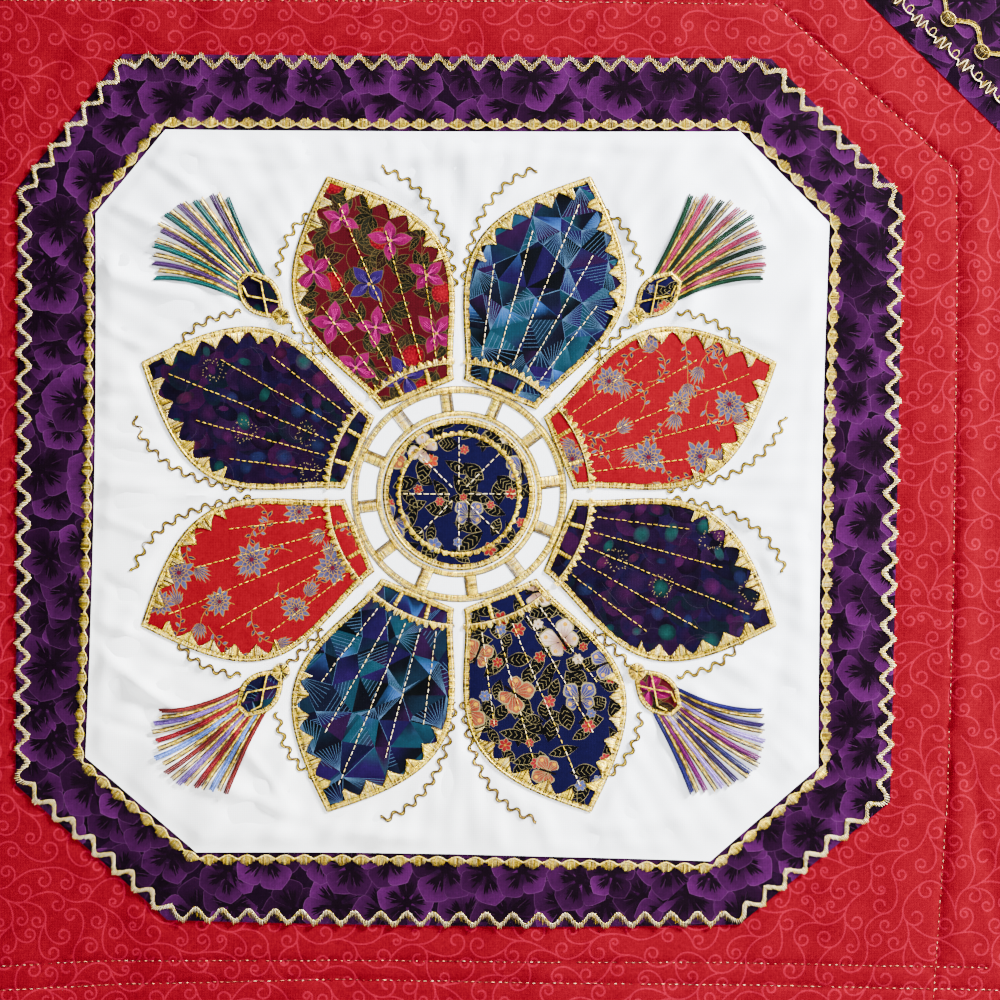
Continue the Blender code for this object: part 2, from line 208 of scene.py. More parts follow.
def inset(outline, distance):
    outline = counter_clockwise(outline)
    result = []
    for before, here, after in zip(outline[-1:] + outline, outline, outline[1:] + outline[:1]):
        first = (here - before).normalized()
        second = (after - here).normalized()
        first_normal = left_of(first)
        second_normal = left_of(second)
        middle = (first_normal + second_normal).normalized()
        result.append(here + middle * distance / max(middle.dot(first_normal), 0.3))
    return result


def divided(line, spacing):
    result = [line[0]]
    for a, b in zip(line, line[1:]):
        count = max(1, math.ceil((b - a).length / spacing))
        result += [a.lerp(b, i / count) for i in range(1, count + 1)]
    return result


def area_of(outline):
    return abs(sum(a.cross(b) for a, b in zip(outline, outline[1:] + outline[:1]))) / 2.0


def corner(index, side):
    return Vector(CORNERS[side][index % len(STRIPS)])


def edge_point(index, side, t):
    start = corner(index, side)
    end = corner(index + 1, side)
    bow = BOWS[side].get(STRIPS[index % len(STRIPS)], 0.0)
    along = (end - start).normalized()
    outward = left_of(along)
    return start.lerp(end, t) + outward * bow * 4.0 * t * (1.0 - t)


def edge(index, side, start=0.0, end=1.0, steps=16):
    return [edge_point(index, side, start + (end - start) * i / steps) for i in range(steps + 1)]


def closed_edge(side):
    points = []
    for index in range(len(STRIPS)):
        points += edge(index, side)[:-1]
    return points


def seam_share(corner_strip, neighbour):
    """Where a corner strip's inner edge, made longer, crosses a neighbour's outer edge."""
    return crossing_share(
        corner(corner_strip, "inner"), corner(corner_strip + 1, "inner"),
        corner(neighbour, "outer"), corner(neighbour + 1, "outer"))


def strip_outline(index):
    if index % 2 == 0:
        first = seam_share(index - 1, index)
        last = seam_share(index + 1, index)
        return edge(index, "outer", first, last, 40) + edge(index, "inner", steps=40)[::-1]
    before = seam_share(index, index - 1)
    after = seam_share(index, index + 1)
    leading = edge(index - 1, "outer", before, 1.0, 6)
    middle = edge(index, "outer", 0.05, 0.95, 16)
    trailing = edge(index + 1, "outer", 0.0, after, 6)
    return leading + middle + trailing + edge(index, "inner", steps=16)[::-1]


def wobbled(start, end, count):
    points = []
    along = (end - start).normalized()
    outward = right_of(along)
    for i in range(count):
        t = i / count
        swing = math.sin(math.pi * t) * math.sin(TAU * (2.3 * t + start.x + 3.0 * start.y))
        points.append(start.lerp(end, t) + outward * EDGE_WOBBLE * swing)
    return points


def ground_outline():
    half = GROUND_WIDTH / 2
    corners = [
        Vector((-half, -GROUND_HEIGHT)), Vector((half, -GROUND_HEIGHT)), Vector((half, 0.0)),
        Vector((-half, 0.0))]
    outline = []
    for index, start in enumerate(corners):
        end = corners[(index + 1) % 4]
        outline += divided([start, end], 5 * MM)[:-1] if index == 2 else wobbled(start, end, 108)
    return outline


def petal_half_width(share):
    bulge = PETAL_BULGE * math.sin(math.pi * share ** PETAL_LEAN)
    return PETAL_BASE_HALF_WIDTH * (1.0 - share) + bulge


def bud_half_width(share):
    return BUD_HALF_WIDTH * math.sin(math.pi * (0.12 + 0.76 * share))


def direction(angle):
    return Vector((math.cos(angle), math.sin(angle)))


def leaf_outline(angle, start, tip, half_width, steps):
    along = direction(angle)
    across = left_of(along)

    def place(share, side):
        return HUB + along * (start + (tip - start) * share) + across * side * half_width(share)

    shares = [i / steps for i in range(steps + 1)]
    left_side = [place(s, 1.0) for s in reversed(shares)]
    if half_width(1.0) < 0.1 * MM:
        left_side = left_side[1:]
    return counter_clockwise([place(s, -1.0) for s in shares] + left_side)


def petal_angle(index):
    return PETAL_TURN - index * TAU / PETAL_COUNT


def bud_angle(index):
    return BUD_TURN - index * TAU / BUD_COUNT


FRAME_OUTLINE = closed_edge("outer")
PANEL_OUTLINE = closed_edge("inner")
GROUND_OUTLINE = ground_outline()
PATCH_OUTLINE = [
    Vector((PATCH_TOP_X, -PATCH_MARGIN)), Vector((GROUND_WIDTH / 2 - PATCH_MARGIN, PATCH_SIDE_Z)),
    Vector((GROUND_WIDTH / 2 - PATCH_MARGIN, -PATCH_MARGIN))]
QUILTING = [[Vector(p) for p in line] for line in (ECHO_LINE, UPPER_FOOT_LINE, LOWER_FOOT_LINE)]
FLOWER_OUTLINES = [
    leaf_outline(petal_angle(i), PETAL_START, PETAL_TIP, petal_half_width, 16)
    for i in range(PETAL_COUNT)]
FLOWER_OUTLINES += [
    leaf_outline(bud_angle(i), BUD_START, BUD_TIP, bud_half_width, 8) for i in range(BUD_COUNT)]
FLOWER_OUTLINES.append([HUB + direction(TAU * i / 32) * PETAL_START for i in range(32)])


# Heights from the wall

def lift(x, z):
    """How far the back of the hanging stands off the wall."""
    depth = -z / GROUND_HEIGHT
    grown = smooth((depth - FLAT_SHARE) / (1.0 - FLAT_SHARE))
    return grown * sum(
        w.height * (1.0 + np.sin(TAU * x / w.length + w.phase + w.lean * depth)) for w in WAVES)


def lumps(x, z):
    depth = -z / GROUND_HEIGHT
    return sum(w.height * np.sin(TAU * x / w.length + w.phase + w.lean * depth) for w in LUMPS)


def make_ripples(shortest, longest, height, count, seed):
    """Gentle crumples: plane waves in many directions, as a function of x and z."""
    dice = random.Random(seed)
    waves = []
    for _ in range(count):
        number = TAU / dice.uniform(shortest, longest)
        angle = dice.uniform(0.0, math.pi)
        waves.append((number * math.cos(angle), number * math.sin(angle), dice.uniform(0.0, TAU)))

    def ripples(x, z):
        return height / math.sqrt(count) * sum(np.sin(a * x + b * z + c) for a, b, c in waves)

    return ripples


ground_ripples = make_ripples(14 * MM, 40 * MM, 0.30 * MM, 9, 1)
strip_ripples = make_ripples(9 * MM, 22 * MM, 0.15 * MM, 9, 2)
panel_ripples = make_ripples(20 * MM, 60 * MM, 0.55 * MM, 9, 3)
puckers = make_ripples(9 * MM, 20 * MM, 0.75 * MM, 9, 5)
petal_ripples = make_ripples(10 * MM, 26 * MM, 0.10 * MM, 9, 4)


def applied_bed(x, z):
    """The height of the ground under the frame and the panel."""
    return lift(x, z) + GROUND_THICKNESS - FRAME_BED + lumps(x, z)


def ground_front(x, z):
    edge_distance = rim_distance(x, z, GROUND_OUTLINE)
    frame_distance = rim_distance(x, z, FRAME_OUTLINE)
    inside = is_inside(x, z, FRAME_OUTLINE)
    bed = FRAME_BED * (1.0 - smooth((frame_distance - BED_EDGE) / BED_SLOPE))
    bed = np.where(inside, FRAME_BED, bed)
    stitched = np.min([line_distance(x, z, line) for line in QUILTING], axis=0)
    trough = TROUGH_DEPTH * (1.0 - smooth(stitched / TROUGH_HALF_WIDTH))
    trough += DITCH_DEPTH * (1.0 - smooth(stitched / DITCH_HALF_WIDTH))
    folded = sum(
        rise * (1.0 - smooth(line_distance(x, z, [start, end]) / half_width))
        for start, end, rise, half_width in FOLDS)
    roll = (GROUND_THICKNESS - HEM_THICKNESS) * (1.0 - np.sin(
        np.clip(edge_distance / HEM_ROLL, 0.0, 1.0) * math.pi / 2))
    patch_distance = rim_distance(x, z, PATCH_OUTLINE)
    free = np.where(is_inside(x, z, PATCH_OUTLINE), 0.0, smooth(patch_distance / BED_SLOPE))
    loose = np.where(inside, 0.0, ground_ripples(x, z) * smooth(frame_distance / BED_SLOPE) * free)
    folded = np.where(inside, 0.0, folded)
    height = GROUND_THICKNESS + lumps(x, z) + loose + folded - bed - trough
    return lift(x, z) + np.maximum(height - roll, HEM_THICKNESS * 0.8)


# Soft creases of the white panel: x and z of the middle, direction in degrees, length, height and
# half width in millimetres, and bend
CREASES = [
    (-0.180, -0.162, -16, 0.060, 1.3, 4.2, 1.5), (-0.170, -0.178, 22, 0.070, -1.1, 4.6, 1.0),
    (-0.178, -0.150, -38, 0.050, -1.0, 3.8, 1.0), (-0.190, -0.212, 5, 0.045, 1.1, 3.6, -2.0),
    (-0.190, -0.232, -8, 0.040, -1.0, 4.0, 1.5), (-0.192, -0.262, 4, 0.036, 1.0, 4.0, 1.0),
    (-0.190, -0.300, 10, 0.036, -1.0, 3.8, -1.5), (-0.186, -0.335, -12, 0.050, 1.2, 4.2, 1.5),
    (-0.168, -0.352, -20, 0.070, -1.1, 4.6, 1.0), (-0.160, -0.374, -28, 0.080, 1.35, 4.4, 1.2),
    (-0.150, -0.393, -32, 0.080, -1.15, 4.6, 0.8), (-0.135, -0.414, -24, 0.070, 1.2, 4.4, 1.0),
    (-0.112, -0.430, -12, 0.060, -1.0, 4.2, 1.0), (-0.070, -0.436, -4, 0.060, 1.0, 4.4, 0.8),
    (0.020, -0.440, 3, 0.070, -0.8, 4.6, 0.6), (0.070, -0.432, 10, 0.050, 0.8, 4.4, 1.0),
    (0.140, -0.350, 80, 0.060, -0.8, 5.0, 0.8), (0.150, -0.300, 96, 0.060, 0.7, 5.0, 0.8),
    (0.152, -0.220, 84, 0.070, -0.7, 5.2, 0.6), (0.118, -0.130, -40, 0.050, 0.8, 5.0, 0.8),
    (0.040, -0.096, -6, 0.070, -0.8, 4.2, 0.8), (-0.030, -0.098, 4, 0.080, 0.9, 4.4, 0.6),
    (-0.095, -0.105, 10, 0.060, -1.0, 4.2, 1.0), (-0.135, -0.118, 24, 0.060, 0.7, 4.2, 1.2),
    (-0.148, -0.138, 32, 0.070, -0.7, 4.4, 1.0), (-0.168, -0.104, -34, 0.060, 0.8, 3.0, 1.0),
    (-0.186, -0.126, -24, 0.050, 0.8, 2.8, 2.0), (-0.186, -0.146, -12, 0.045, -0.7, 2.6, -2.0),
    (-0.140, -0.098, -8, 0.050, 0.7, 2.8, 1.0), (-0.190, -0.188, -28, 0.045, 0.8, 2.6, 2.0),
    (-0.192, -0.222, -4, 0.040, 0.7, 2.6, 1.0), (-0.188, -0.248, -14, 0.040, -0.7, 2.6, 2.0),
    (-0.190, -0.282, -20, 0.045, 0.8, 2.8, -1.5), (-0.188, -0.316, -30, 0.050, -0.8, 2.8, 1.5),
    (-0.180, -0.362, -40, 0.060, 0.8, 3.0, 1.0), (-0.186, -0.384, -18, 0.050, -0.7, 2.8, 1.0),
    (-0.120, -0.404, -52, 0.045, 0.8, 2.8, 1.0), (0.132, -0.112, -60, 0.040, 0.6, 3.0, 1.0),
    (0.148, -0.404, -44, 0.050, 0.6, 3.2, 1.0),
]
CREASE_SCALE = 1.7


def creases(x, z):
    total = 0.0
    for middle_x, middle_z, turn, length, height, half_width, bend in CREASES:
        along = direction(math.radians(turn))
        u = (x - middle_x) * along.x + (z - middle_z) * along.y
        v = (z - middle_z) * along.x - (x - middle_x) * along.y - bend * u * u
        fall = np.exp(-(v / (half_width * MM)) ** 2 - (2.0 * u / length) ** 4)
        total = total + CREASE_SCALE * (height * MM) * fall
    return total


def sewn_down(distance, reach):
    """0 where a row of stitches holds the cloth down and 1 away from it."""
    return smooth(distance / reach)


def flower_distance(x, z):
    """The distance from the sewn flower, and 0 on it."""
    distance = np.full(np.shape(x), np.inf)
    for outline in FLOWER_OUTLINES:
        away = rim_distance(x, z, outline)
        distance = np.minimum(distance, np.where(is_inside(x, z, outline), 0.0, away))
    return distance


def drawn_up(x, z):
    """Puckers that run outward from the sewn flower, which draws the cloth up."""
    from_hub = np.hypot(x - HUB.x, z - HUB.y)
    around = np.arctan2(z - HUB.y, x - HUB.x) * 0.8 * PETAL_TIP
    return puckers(0.3 * from_hub, around)


def panel_front(x, z):
    held = sewn_down(rim_distance(x, z, PANEL_OUTLINE), 9 * MM)
    free = sewn_down(flower_distance(x, z), 9 * MM)
    loose = (panel_ripples(x, z) + creases(x, z) + drawn_up(x, z)) * (0.3 + 0.7 * held)
    risen = (loose + PANEL_PUFF * held) * free
    soft_floor = (risen + np.sqrt(risen ** 2 + PANEL_FLOOR ** 2)) / 2.0
    return applied_bed(x, z) + LAYER_GAP + PANEL_THICKNESS * (0.7 + 0.3 * held) + soft_floor


def strip_front(x, z):
    outer = rim_distance(x, z, FRAME_OUTLINE)
    inner = rim_distance(x, z, PANEL_OUTLINE)
    held = np.minimum(sewn_down(outer - 4 * MM, 14 * MM), sewn_down(inner - 3 * MM, 14 * MM))
    roll = 0.6 * MM * (1.0 - smooth(np.minimum(outer, inner) / (1.1 * MM)))
    loose = strip_ripples(x, z) * (0.4 + 0.6 * held)
    return applied_bed(x, z) + LAYER_GAP + STRIP_THICKNESS + STRIP_CROWN * held + loose - roll


def patch_front(x, z):
    """The patch lies close to the ground along its sewn edges."""
    held = sewn_down(rim_distance(x, z, PATCH_OUTLINE), 7 * MM)
    height = 0.3 * MM + (LAYER_GAP + STRIP_THICKNESS - 0.3 * MM) * held
    return lift(x, z) + GROUND_THICKNESS + lumps(x, z) + height + 0.7 * strip_ripples(x, z) * held


def make_petal_front(outline):
    def front(x, z):
        inward = rim_distance(x, z, outline)
        crown = PETAL_CROWN * smooth(inward / (9 * MM))
        roll = 0.45 * MM * (1.0 - smooth(inward / (1.2 * MM)))
        loose = petal_ripples(x, z) * smooth(inward / (5 * MM))
        layers = 2 * LAYER_GAP + PANEL_THICKNESS + PETAL_THICKNESS
        return applied_bed(x, z) + layers + crown + loose - roll

    return front


# Printed cloth

# One printed shape; its color turns into the far one at the reach from the start
Shape = namedtuple("Shape", "points color far start reach")


class Print(list):
    """Shapes in the order of printing, each a flat outline with a color that may turn into
    another one away from a point."""

    def add(self, points, color, far=None, start=None, reach=1.0):
        self.append(Shape(points, color, far or color, start or points[0], reach))

    def add_edged(self, base, angle, outer, inner, form, rim, *fill):
        """A blade in the color of its rim and a smaller one on it, each by length and half width."""
        self.add(blade(base, angle, *outer, *form), rim)
        self.add(blade(base, angle, *inner, *form), *fill)


def value_at(value, place):
    """A measure that is either fixed or a function of the place."""
    return value(place) if callable(value) else value


def ribbon(line, width):
    """A band along a line, its width a number or a function of the share of the way."""
    left, right = [], []
    last = len(line) - 1
    for i, here in enumerate(line):
        along = (line[min(i + 1, last)] - line[max(i - 1, 0)]).normalized()
        across = left_of(along)
        half = value_at(width, i / last) / 2.0
        left.append(here + across * half)
        right.append(here - across * half)
    return left + right[::-1]


def disc(middle, radius, sides=10, squeeze=1.0, turn=0.0):
    along = direction(turn)
    across = left_of(along)
    return [
        middle + along * (radius * math.cos(a)) + across * (radius * squeeze * math.sin(a))
        for a in (TAU * i / sides for i in range(sides))]


def blade(base, angle, length, half_width, fullness=1.0, steps=7, bend=0.0):
    """A petal or leaf outline from its base outward; fullness above 1 moves its widest place out."""
    along = direction(angle)
    across = left_of(along)

    def spine(t):
        return base + along * (length * t) + across * (bend * length * t * t)

    shares = [math.sin(math.pi / 2 * i / steps) for i in range(1, steps)]
    widths = [half_width * math.sin(math.pi * t ** fullness) for t in shares]
    one_side = [spine(t) + across * w for t, w in zip(shares, widths)]
    other_side = [spine(t) - across * w for t, w in zip(shares, widths)]
    return [base] + other_side + [spine(1.0)] + one_side[::-1]


def shown_faces(outline, shapes):
    """Triangles inside an outline that follow the edges of all shapes, and each one's topmost shape.
    A shape that would cover far more than its own area, as a crossed outline can, is left out."""
    points = counter_clockwise(outline)
    polygons = [list(range(len(outline)))]
    for item in shapes:
        first = len(points)
        points += counter_clockwise(item.points)
        polygons.append(list(range(first, len(points))))
    verts, _, faces, origins, _, owners = delaunay_2d_cdt(points, [], polygons, 1, 1e-7)
    covered = [0.0] * len(polygons)
    for face, owned in zip(faces, owners):
        a, b, c = (verts[i] for i in face)
        size = (b - a).cross(c - a) / 2.0
        for index in owned:
            covered[index] += size
    limits = [math.inf] + [2.0 * area_of(item.points) + LEAK_AREA for item in shapes]
    shown = []
    for face, owned in zip(faces, owners):
        if owned and min(owned) == 0:
            shown.append((face, max(i for i in owned if covered[i] <= limits[i])))
    on_outline = {i for i, olds in enumerate(origins) if olds and min(olds) < len(outline)}
    return verts, [f for f, _ in shown], [top for _, top in shown], on_outline


def sides_of(faces):
    """The start and end of each side of each triangle, in order."""
    corners = np.array(faces)
    return corners.reshape(-1), np.roll(corners, -1, axis=1).reshape(-1)


def border_graph(faces, tops, count):
    """Each point's neighbours along the edges where different shapes meet, or where the cloth ends."""
    starts, ends = sides_of(faces)
    keys = np.minimum(starts, ends) * count + np.maximum(starts, ends)
    order = np.argsort(keys, kind="stable")
    keys, shown = keys[order], np.repeat(np.array(tops), 3)[order]
    firsts = np.flatnonzero(np.concatenate(([True], keys[1:] != keys[:-1])))
    is_border = np.minimum.reduceat(shown, firsts) != np.maximum.reduceat(shown, firsts)
    is_border |= np.diff(np.append(firsts, len(keys))) == 1
    neighbours = {}
    for key in keys[firsts][is_border].tolist():
        a, b = divmod(key, count)
        neighbours.setdefault(a, []).append(b)
        neighbours.setdefault(b, []).append(a)
    return neighbours


def chains_of(neighbours, fixed):
    """The borders as chains of points, each between two points that stay."""
    ends = [i for i, near in neighbours.items() if len(near) != 2 or i in fixed]
    passed = set()
    chains = []
    for first in ends + list(neighbours):
        for second in neighbours[first]:
            if (first, second) in passed:
                continue
            chain = [first, second]
            passed |= {(first, second), (second, first)}
            while len(neighbours[chain[-1]]) == 2 and chain[-1] not in fixed and chain[-1] != first:
                one, other = neighbours[chain[-1]]
                following = other if one == chain[-2] else one
                passed |= {(chain[-1], following), (following, chain[-1])}
                chain.append(following)
            chains.append(chain)
    return chains


def thinned(chain, places):
    """A chain without the points that lie close to the line between those that stay."""
    stay = [chain[0]]
    here = 0
    while here < len(chain) - 1:
        there = here + 1
        while there + 1 < len(chain) and there - here < LONGEST_SKIP:
            start = places[chain[here]]
            run = places[chain[there + 1]] - start
            between = [places[i] - start for i in chain[here + 1:there + 1]]
            if any(
                    abs(run.cross(p)) > PRINT_TOLERANCE * run.length
                    or not 0.0 <= run.dot(p) <= run.dot(run) for p in between):
                break
            there += 1
        stay.append(chain[there])
        here = there
    return stay


def triangulated(outline, shapes, fill):
    """Triangles inside an outline that follow the edges that show, and each one's topmost shape."""
    places, faces, tops, on_outline = shown_faces(outline, shapes)
    edges = []
    for chain in chains_of(border_graph(faces, tops, len(places)), on_outline):
        line = thinned(chain, places)
        edges += list(zip(line, line[1:]))
    used = sorted({i for pair in edges for i in pair})
    place = {old: new for new, old in enumerate(used)}
    rim = [place[i] for i in rim_of(faces, len(places)) if i in place]
    verts, _, new_faces, _, _, inside = delaunay_2d_cdt(
        [places[i] for i in used] + fill, [(place[a], place[b]) for a, b in edges], [rim], 1, 1e-7)
    lookup = BVHTree.FromPolygons([(p.x, p.y, 0.0) for p in places], faces)
    kept = []
    for face, owned in zip(new_faces, inside):
        if owned:
            middle = (verts[face[0]] + verts[face[1]] + verts[face[2]]) / 3.0
            kept.append((face, tops[lookup.find_nearest((middle.x, middle.y, 0.0))[2]]))
    used, corners = np.unique(np.array([f for f, _ in kept]), return_inverse=True)
    return [verts[i] for i in used], corners.reshape(-1, 3).tolist(), [o for _, o in kept]


def rim_of(faces, count):
    """The loop of points around a patch of triangles."""
    starts, ends = sides_of(faces)
    outward = ~np.isin(starts * count + ends, ends * count + starts)
    following = dict(zip(starts[outward].tolist(), ends[outward].tolist()))
    first = next(iter(following))
    loop = [first]
    while following[loop[-1]] != first:
        loop.append(following[loop[-1]])
    return loop


def grid_points(outline, spacing, keep=None):
    xs = [p.x for p in outline]
    zs = [p.y for p in outline]
    columns = int((max(xs) - min(xs)) / spacing) + 1
    rows = int((max(zs) - min(zs)) / spacing) + 1
    grid_x, grid_z = np.meshgrid(np.arange(columns), np.arange(rows))
    grid_x = min(xs) + (grid_x + 0.5 * (grid_z % 2) + 0.25) * spacing
    grid_z = min(zs) + (grid_z + 0.5) * spacing
    grid_x, grid_z = grid_x.ravel(), grid_z.ravel()
    chosen = is_inside(grid_x, grid_z, outline)
    chosen &= rim_distance(grid_x, grid_z, outline) > 0.4 * spacing
    if keep is not None:
        chosen &= keep(grid_x, grid_z)
    return [Vector(p) for p in zip(grid_x[chosen].tolist(), grid_z[chosen].tolist())]


def printed_cloth(name, outline, front, back, shapes, plain, fill, reverse=None):
    """A closed sheet with its print in a color attribute named ink, one color per face corner."""
    verts, faces, owners = triangulated(outline, shapes, fill)
    flat = np.array([(v.x, v.y) for v in verts])
    loop = rim_of(faces, len(verts))
    rim = [verts[i] for i in loop]
    back_verts, _, back_faces, from_points, _, _ = delaunay_2d_cdt(
        rim + grid_points(rim, BACK_SPACING), [], [list(range(len(rim)))], 1, 1e-7)
    place = {old: new for new, olds in enumerate(from_points) for old in olds}
    back_flat = np.array([(v.x, v.y) for v in back_verts])

    count = len(verts)
    co = np.empty((count + len(back_verts), 3))
    co[:count, 0], co[:count, 2] = flat[:, 0], flat[:, 1]
    co[count:, 0], co[count:, 2] = back_flat[:, 0], back_flat[:, 1]
    co[:count, 1] = -front(flat[:, 0], flat[:, 1])
    co[count:, 1] = -back(back_flat[:, 0], back_flat[:, 1])

    triangles = [list(f) for f in faces]
    triangles += [[i + count for i in reversed(f)] for f in back_faces]
    for i, here in enumerate(loop):
        j = (i + 1) % len(loop)
        back_here, back_next = place[i] + count, place[j] + count
        triangles.append([here, back_here, back_next])
        triangles.append([here, back_next, loop[j]])
    mesh = bpy.data.meshes.new(name)
    mesh.from_pydata(co.tolist(), [], triangles)

    inks = [plain] + [s.color for s in shapes]
    fars = [plain] + [s.far for s in shapes]
    starts = [(0.0, 0.0)] + [tuple(s.start) for s in shapes]
    reaches = [1.0] + [s.reach for s in shapes]
    owner = np.repeat(np.array(owners), 3)
    corners = flat[np.array(faces).reshape(-1)]
    away = np.hypot(*(corners - np.array(starts)[owner]).T) / np.array(reaches)[owner]
    share = smooth(away)[:, None]
    ink = np.array(inks)[owner] * (1.0 - share) + np.array(fars)[owner] * share
    colors = np.ones((len(triangles) * 3, 4))
    colors[:, :3] = reverse or plain
    colors[:len(ink), :3] = ink
    attribute = mesh.color_attributes.new("ink", "FLOAT_COLOR", "CORNER")
    attribute.data.foreach_set("color", colors.ravel())
    mesh.shade_smooth()
    mesh.set_sharp_from_angle(angle=math.radians(50))
    return link(name, mesh)


def link(name, data):
    thing = bpy.data.objects.new(name, data)
    bpy.context.scene.collection.objects.link(thing)
    return thing


# Prints

Vine = namedtuple("Vine", "x z heading passed hand")


def scroll_print():
    """Vines that branch off one another and curl up into spirals, as on the red cloth."""
    dice = random.Random(7)
    line_width = 0.94 * MM
    clearance = 2.1 * MM
    free_start = 6.5 * MM           # how far a branch may run beside its parent
    cell = 0.8 * MM
    margin = 12 * MM
    low = Vector((-GROUND_WIDTH / 2 - margin, -GROUND_HEIGHT - margin))
    across = math.ceil((GROUND_WIDTH + 2 * margin) / cell)
    up = math.ceil((GROUND_HEIGHT + 2 * margin) / cell)
    grid_x, grid_z = np.meshgrid(
        low.x + (np.arange(across) + 0.5) * cell, low.y + (np.arange(up) + 0.5) * cell, indexing="ij")
    free, hidden = -1, -2
    owner = np.where(is_inside(grid_x, grid_z, inset(FRAME_OUTLINE, 8 * MM)), hidden, free)
    reach = math.ceil(clearance / cell)
    stamp = np.array([
        (i, j) for i in range(-reach, reach + 1) for j in range(-reach, reach + 1)
        if math.hypot(i, j) * cell <= clearance])
    shares = 1.0 - (1.0 - np.arange(25) / 24.0) ** 1.3
    vines = []

    def try_vine(start, angle, hand, length, parent):
        """Adds a line that leaves a point at an angle and curls up, where there is room for it."""
        first_bend = dice.uniform(0.8, 2.6)
        last_bend = dice.uniform(18.0, 23.0)
        heading = angle + hand * (
            first_bend * shares + (last_bend - first_bend) * shares ** 3 / 3.0)
        passed = length * shares
        steps = np.diff(passed)
        between = (heading[1:] + heading[:-1]) / 2.0
        x = start.x + np.concatenate(([0.0], np.cumsum(steps * np.cos(between))))
        z = start.y + np.concatenate(([0.0], np.cumsum(steps * np.sin(between))))
        columns = ((x - low.x) / cell).astype(int)
        rows = ((z - low.y) / cell).astype(int)
        room = reach + 1
        if columns.min() < room or rows.min() < room:
            return False
        if columns.max() >= across - room or rows.max() >= up - room:
            return False
        found = owner[columns, rows]
        if not np.all((found == free) | ((found == parent) & (passed < free_start))):
            return False
        spread = (np.stack([columns, rows], axis=1)[:, None] + stamp).reshape(-1, 2)
        spread = spread[owner[spread[:, 0], spread[:, 1]] == free]
        owner[spread[:, 0], spread[:, 1]] = len(vines)
        vines.append(Vine(x, z, heading, passed, hand))
        return True

    def branch(parent, lengths, tries, most):
        vine = vines[parent]
        grown = 0
        for _ in range(tries):
            at = dice.randint(2, 13)
            hand = -vine.hand if dice.random() < 0.8 else vine.hand
            angle = vine.heading[at] - vine.hand * dice.uniform(0.0, 0.45)
            start = Vector((vine.x[at], vine.z[at]))
            grown += try_vine(start, angle, hand, dice.uniform(*lengths), parent)
            if grown == most:
                return

    for row in range(12):
        for x in (-0.262, 0.232):
            start = Vector((x + dice.uniform(-6, 6) * MM, -0.02 - row * 0.046))
            try_vine(start, dice.uniform(0, TAU), dice.choice((-1, 1)), 38 * MM, free)
    for lengths, tries, most in (((32 * MM, 42 * MM), 14, 3), ((25 * MM, 34 * MM), 16, 3),
                                 ((19 * MM, 27 * MM), 18, 3)):
        parent = 0
        while parent < len(vines):
            branch(parent, lengths, tries, most)
            parent += 1

    ink = linear("#6F001B")
    shapes = Print()
    for vine in vines:
        line = [Vector(p) for p in zip(vine.x.tolist(), vine.z.tolist())]
        shapes.add(ribbon(line, lambda t: line_width * (0.85 + 0.3 * t)), ink)
        shapes.add(disc(line[-1], 0.6 * line_width, 6), ink)
    return shapes


def batik_flower(middle, size, turn, dice, rim, petal, deep):
    """Broad petals with a pale rim, and dark streaks that spread from a nearly black middle."""
    shapes = Print()
    for i in range(5):
        angle = turn + TAU * i / 5 + dice.uniform(-0.12, 0.12)
        length = size * dice.uniform(0.85, 1.1)
        half = length * dice.uniform(0.46, 0.56)
        base = middle + direction(angle) * size * 0.08
        tone = dice.choice((0.25, 0.45, 0.7, 1.0, 1.2))
        pale = tuple(c * (0.35 + 0.65 * tone) for c in rim)
        body = tuple(c * tone for c in petal)
        shapes.add_edged(
            base, angle, (length, half), (length - 0.35 * MM, half - 0.3 * MM), (1.3, 12), pale,
            deep, body, base, length)
        for streak in range(-3, 4):
            lean = angle + streak * 0.135
            reach = length * dice.uniform(0.50, 0.78) * (1.0 - 0.05 * abs(streak))
            shapes.add(blade(base, lean, reach, 0.034 * length, 2.2, 6), deep)
        light = angle + dice.uniform(-0.25, 0.25)
        line = [base + direction(light) * length * s for s in (0.3, 0.62)]
        shapes.add(ribbon(line, 0.2 * MM), pale)
    shapes.add(disc(middle, size * 0.17, 9), deep)
    return shapes


def scattered(outline, spacing, dice, wander, margin):
    """Places over an outline, in a loose net that runs a little past it."""
    xs = [p.x for p in outline]
    zs = [p.y for p in outline]
    result = []
    row = 0
    z = min(zs) - margin
    while z < max(zs) + margin:
        x = min(xs) - margin + (0.5 * spacing if row % 2 else 0.0)
        while x < max(xs) + margin:
            aside = dice.uniform(-wander, wander) * spacing
            result.append(Vector((x + aside, z + dice.uniform(-wander, wander) * spacing)))
            x += spacing
        z += spacing * 0.87
        row += 1
    x = np.array([p.x for p in result])
    z = np.array([p.y for p in result])
    near = is_inside(x, z, outline) | (rim_distance(x, z, outline) < margin)
    return [p for p, kept in zip(result, near) if kept]


def purple_print(outline, seed):
    """Dark batik flowers over darker leaves."""
    dice = random.Random(seed)
    shapes = Print()
    rim = linear("#39163B")
    petal = linear("#2F0732")
    deep = linear("#070107")
    leaf_tones = inks("#110214", "#18021A", "#070107", "#0D020F")
    for place in scattered(outline, 11 * MM, dice, 0.4, 4 * MM):
        tone = dice.choice(leaf_tones)
        angle, length, half = dice.uniform(0, TAU), dice.uniform(9, 17) * MM, dice.uniform(3, 6) * MM
        shapes.add(blade(place, angle, length, half, 1.2), tone)
    for place in scattered(outline, 22 * MM, dice, 0.3, 9 * MM):
        shapes += batik_flower(
            place, dice.uniform(13, 17.5) * MM, dice.uniform(0, TAU), dice, rim, petal, deep)
    return shapes


